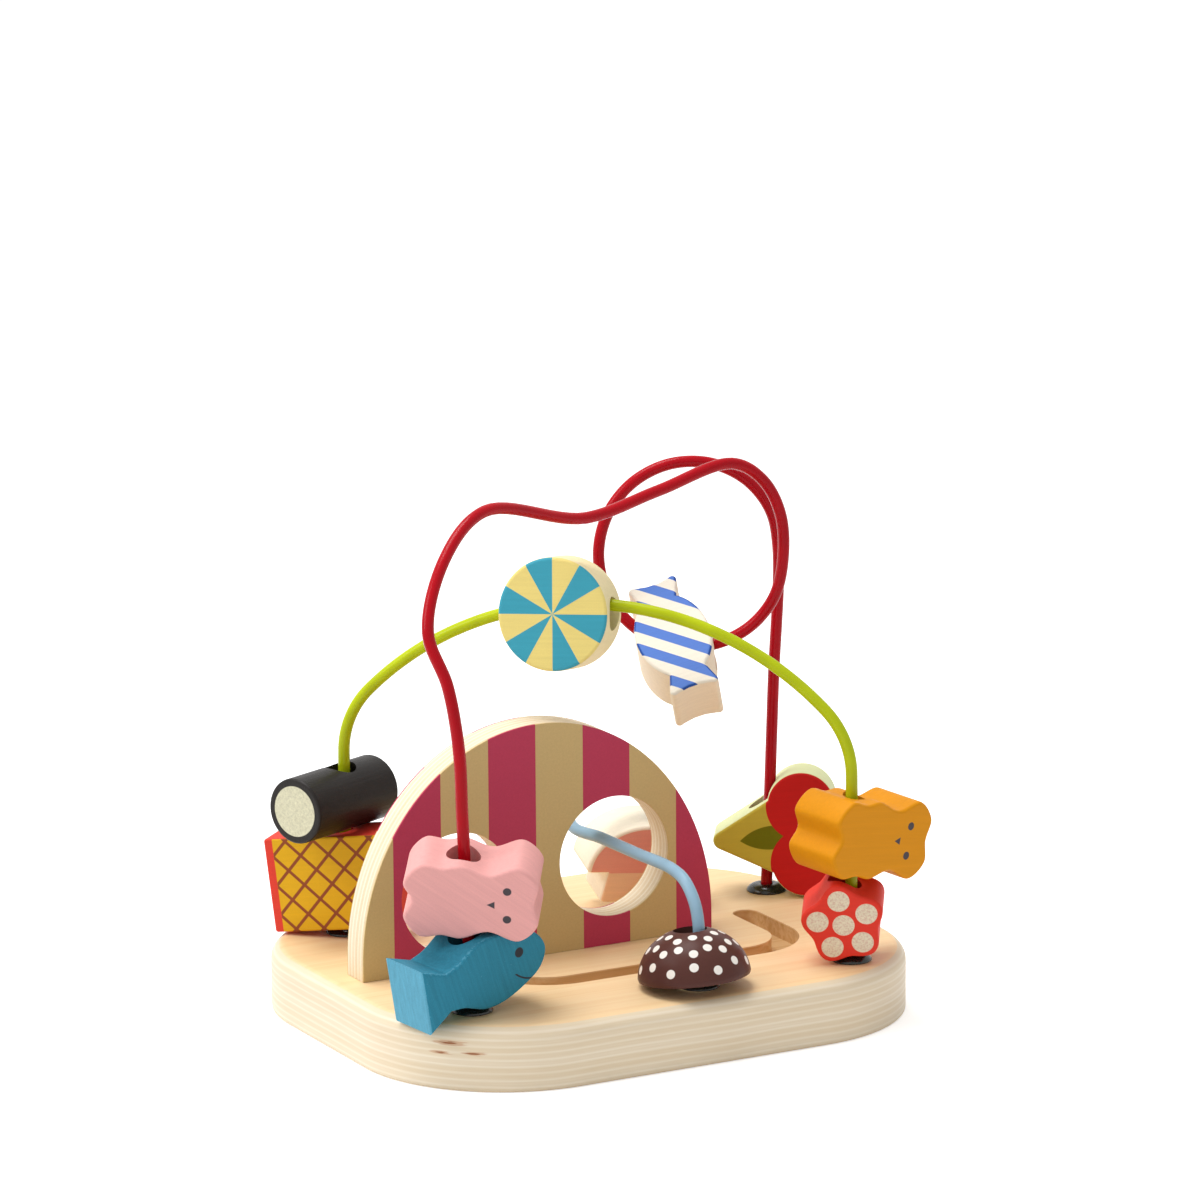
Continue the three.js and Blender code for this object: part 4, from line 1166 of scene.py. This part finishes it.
def make_beads(finishes):
    """Every bead, turned as the photograph shows it: its facing, its lean and its roll in degrees."""
    lime_run = Vector(FEET["lime_front"]) - Vector(FEET["lime_back"])
    # The disc's bore lies along the lime wire, loosely
    disc_facing = math.degrees(math.atan2(lime_run.y, lime_run.x)) - 5
    # The candy's bore follows the loop where the candy hangs
    candy_turn, hangs = stood(-38, -48, 25), -101
    candy_bore = candy_turn.to_3x3().inverted() @ (loop_point(hangs + 1) - loop_point(hangs - 1))
    beads = (
        ("blue_fish", fish(), "bead_blue", stood(11, 3, 12)),
        ("pink_bear", bear(), "bead_pink", stood(-33, 12, -2)),
        ("raspberry", raspberry(), "bead_raspberry", stood(-33, 7, 0)),
        ("yellow_bear", bear(), "bead_yellow", stood(13, 3, -10)),
        ("waffle_block", waffle(), "bead_waffle", stood(-48, 0, 7)),
        ("liquorice_roll", liquorice(), "bead_liquorice", stood(24, 0, 0)),
        ("chocolate_dome", dome(), "bead_chocolate", stood(-28, -5, 5)),
        ("twin_cherries", cherries(), "bead_cherry", stood(-32, -4, 5)),
        ("foam_mushroom", mushroom(), "bead_mushroom", stood(-13, 9, -4)),
        ("round_candy_disc", disc(), "bead_disc", stood(disc_facing, -10, 3)),
        ("striped_candy", candy(candy_bore), "bead_candy", candy_turn),
    )
    for node, bm, slot, turned_by in beads:
        piece(node + "_bead", bm, finishes[node], node, [node], put_at(node, bm, turned_by))


def make_camera():
    """The photograph's view: low, from the front left, through a long lens."""
    azimuth, elevation, roll = (math.radians(turn) for turn in (VIEW_TURN, VIEW_RISE, VIEW_ROLL))
    flat_right = Vector((math.cos(azimuth), math.sin(azimuth), 0))
    flat_back = Vector((math.sin(azimuth), -math.cos(azimuth), 0))
    back = math.cos(elevation) * flat_back + Vector((0, 0, math.sin(elevation)))
    flat_up = back.cross(flat_right)
    right = math.cos(roll) * flat_right + math.sin(roll) * flat_up
    up = math.cos(roll) * flat_up - math.sin(roll) * flat_right
    eye = (VIEW_CENTRE[0] * right + VIEW_CENTRE[1] * up + VIEW_DISTANCE * back) * MM
    lens = bpy.data.cameras.new("camera")
    lens.sensor_width = SENSOR
    lens.sensor_fit = "AUTO"
    lens.lens = VIEW_SCALE * VIEW_DISTANCE / PHOTO_WIDTH * SENSOR
    lens.clip_end = 100
    camera = bpy.data.objects.new("camera", lens)
    camera.matrix_world = Matrix((
        (right.x, up.x, back.x, eye.x),
        (right.y, up.y, back.y, eye.y),
        (right.z, up.z, back.z, eye.z),
        (0, 0, 0, 1),
    ))
    bpy.context.scene.collection.objects.link(camera)
    bpy.context.scene.camera = camera


def lamp(name, place, aim, size, power):
    """A soft box that looks at a point."""
    light = bpy.data.lights.new(name, "AREA")
    light.shape = "DISK"
    light.size = size
    light.energy = power
    made = bpy.data.objects.new(name, light)
    made.location = place
    made.rotation_euler = (Vector(aim) - Vector(place)).to_track_quat("-Z", "Y").to_euler()
    bpy.context.scene.collection.objects.link(made)


def seen_white(tree):
    """Where the surroundings are looked at, straight or in a shine, so that they show white there."""
    rays = add(tree, "ShaderNodeLightPath")
    shine, glass = rays.node.outputs["Is Glossy Ray"], rays.node.outputs["Is Transmission Ray"]
    straight_or_shine = maths(tree, "MAXIMUM", rays, shine)
    return maths(tree, "MAXIMUM", straight_or_shine, glass)


def make_studio():
    """A white table and a white room: soft light from the upper left, and an even fill."""
    world = bpy.data.worlds.new("white_room")
    bpy.context.scene.world = world
    world.use_nodes = True
    tree = world.node_tree
    tree.nodes.clear()
    seen = seen_white(tree)
    strength = ranged(tree, seen, (0, 1), (ROOM_LIGHT, 1))
    room = add(tree, "ShaderNodeBackground", {"Color": (1, 1, 1, 1), "Strength": strength})
    add(tree, "ShaderNodeOutputWorld", {"Surface": room})

    bm = bmesh.new()
    lowered = Matrix.Translation((0, 0, -TABLE_DROP))
    bmesh.ops.create_circle(bm, cap_ends=True, segments=96, radius=TABLE_RADIUS, matrix=lowered)
    mesh = bpy.data.meshes.new("table")
    bm.to_mesh(mesh)
    bm.free()
    table = bpy.data.objects.new("table", mesh)
    bpy.context.scene.collection.objects.link(table)
    paper = bpy.data.materials.new("matt_white_paper")
    paper.use_nodes = True
    tree = paper.node_tree
    tree.nodes.clear()
    glow = maths(tree, "MULTIPLY", seen_white(tree), TABLE_GLOW)
    matt = add(tree, "ShaderNodeBsdfDiffuse", {"Color": (0.9, 0.9, 0.9, 1)})
    bright = add(tree, "ShaderNodeEmission", {"Color": (1, 1, 1, 1), "Strength": glow})
    whole = add(tree, "ShaderNodeAddShader", {0: matt, 1: bright})
    add(tree, "ShaderNodeOutputMaterial", {"Surface": whole})
    mesh.materials.append(paper)

    middle = (0, 0, 0.08)
    lamp("left_soft_box", place=(-1.2, 0.25, 1.05), aim=middle, size=0.8, power=8.5)
    lamp("top_soft_box", place=(-0.2, 0.3, 1.5), aim=middle, size=0.9, power=16)
    bpy.context.scene.view_settings.view_transform = "Standard"


make_board(plywood_board())
make_arch(striped_arch())
make_fastenings(moulded_black(), plated_steel())
for wire, route, coat, colour in (
    ("red", red_route(), "red_plastic_coated_wire", "#AE0818"),
    ("lime", lime_route(), "lime_plastic_coated_wire", "#B4C116"),
    ("grey", grey_route(), "pale_blue_plastic_coated_wire", "#8FB0C4"),
):
    make_wire(f"{wire}_bent_wire", route, coated_wire(coat, colour), f"{wire}_wire")
make_beads(bead_finishes())
make_camera()
make_studio()
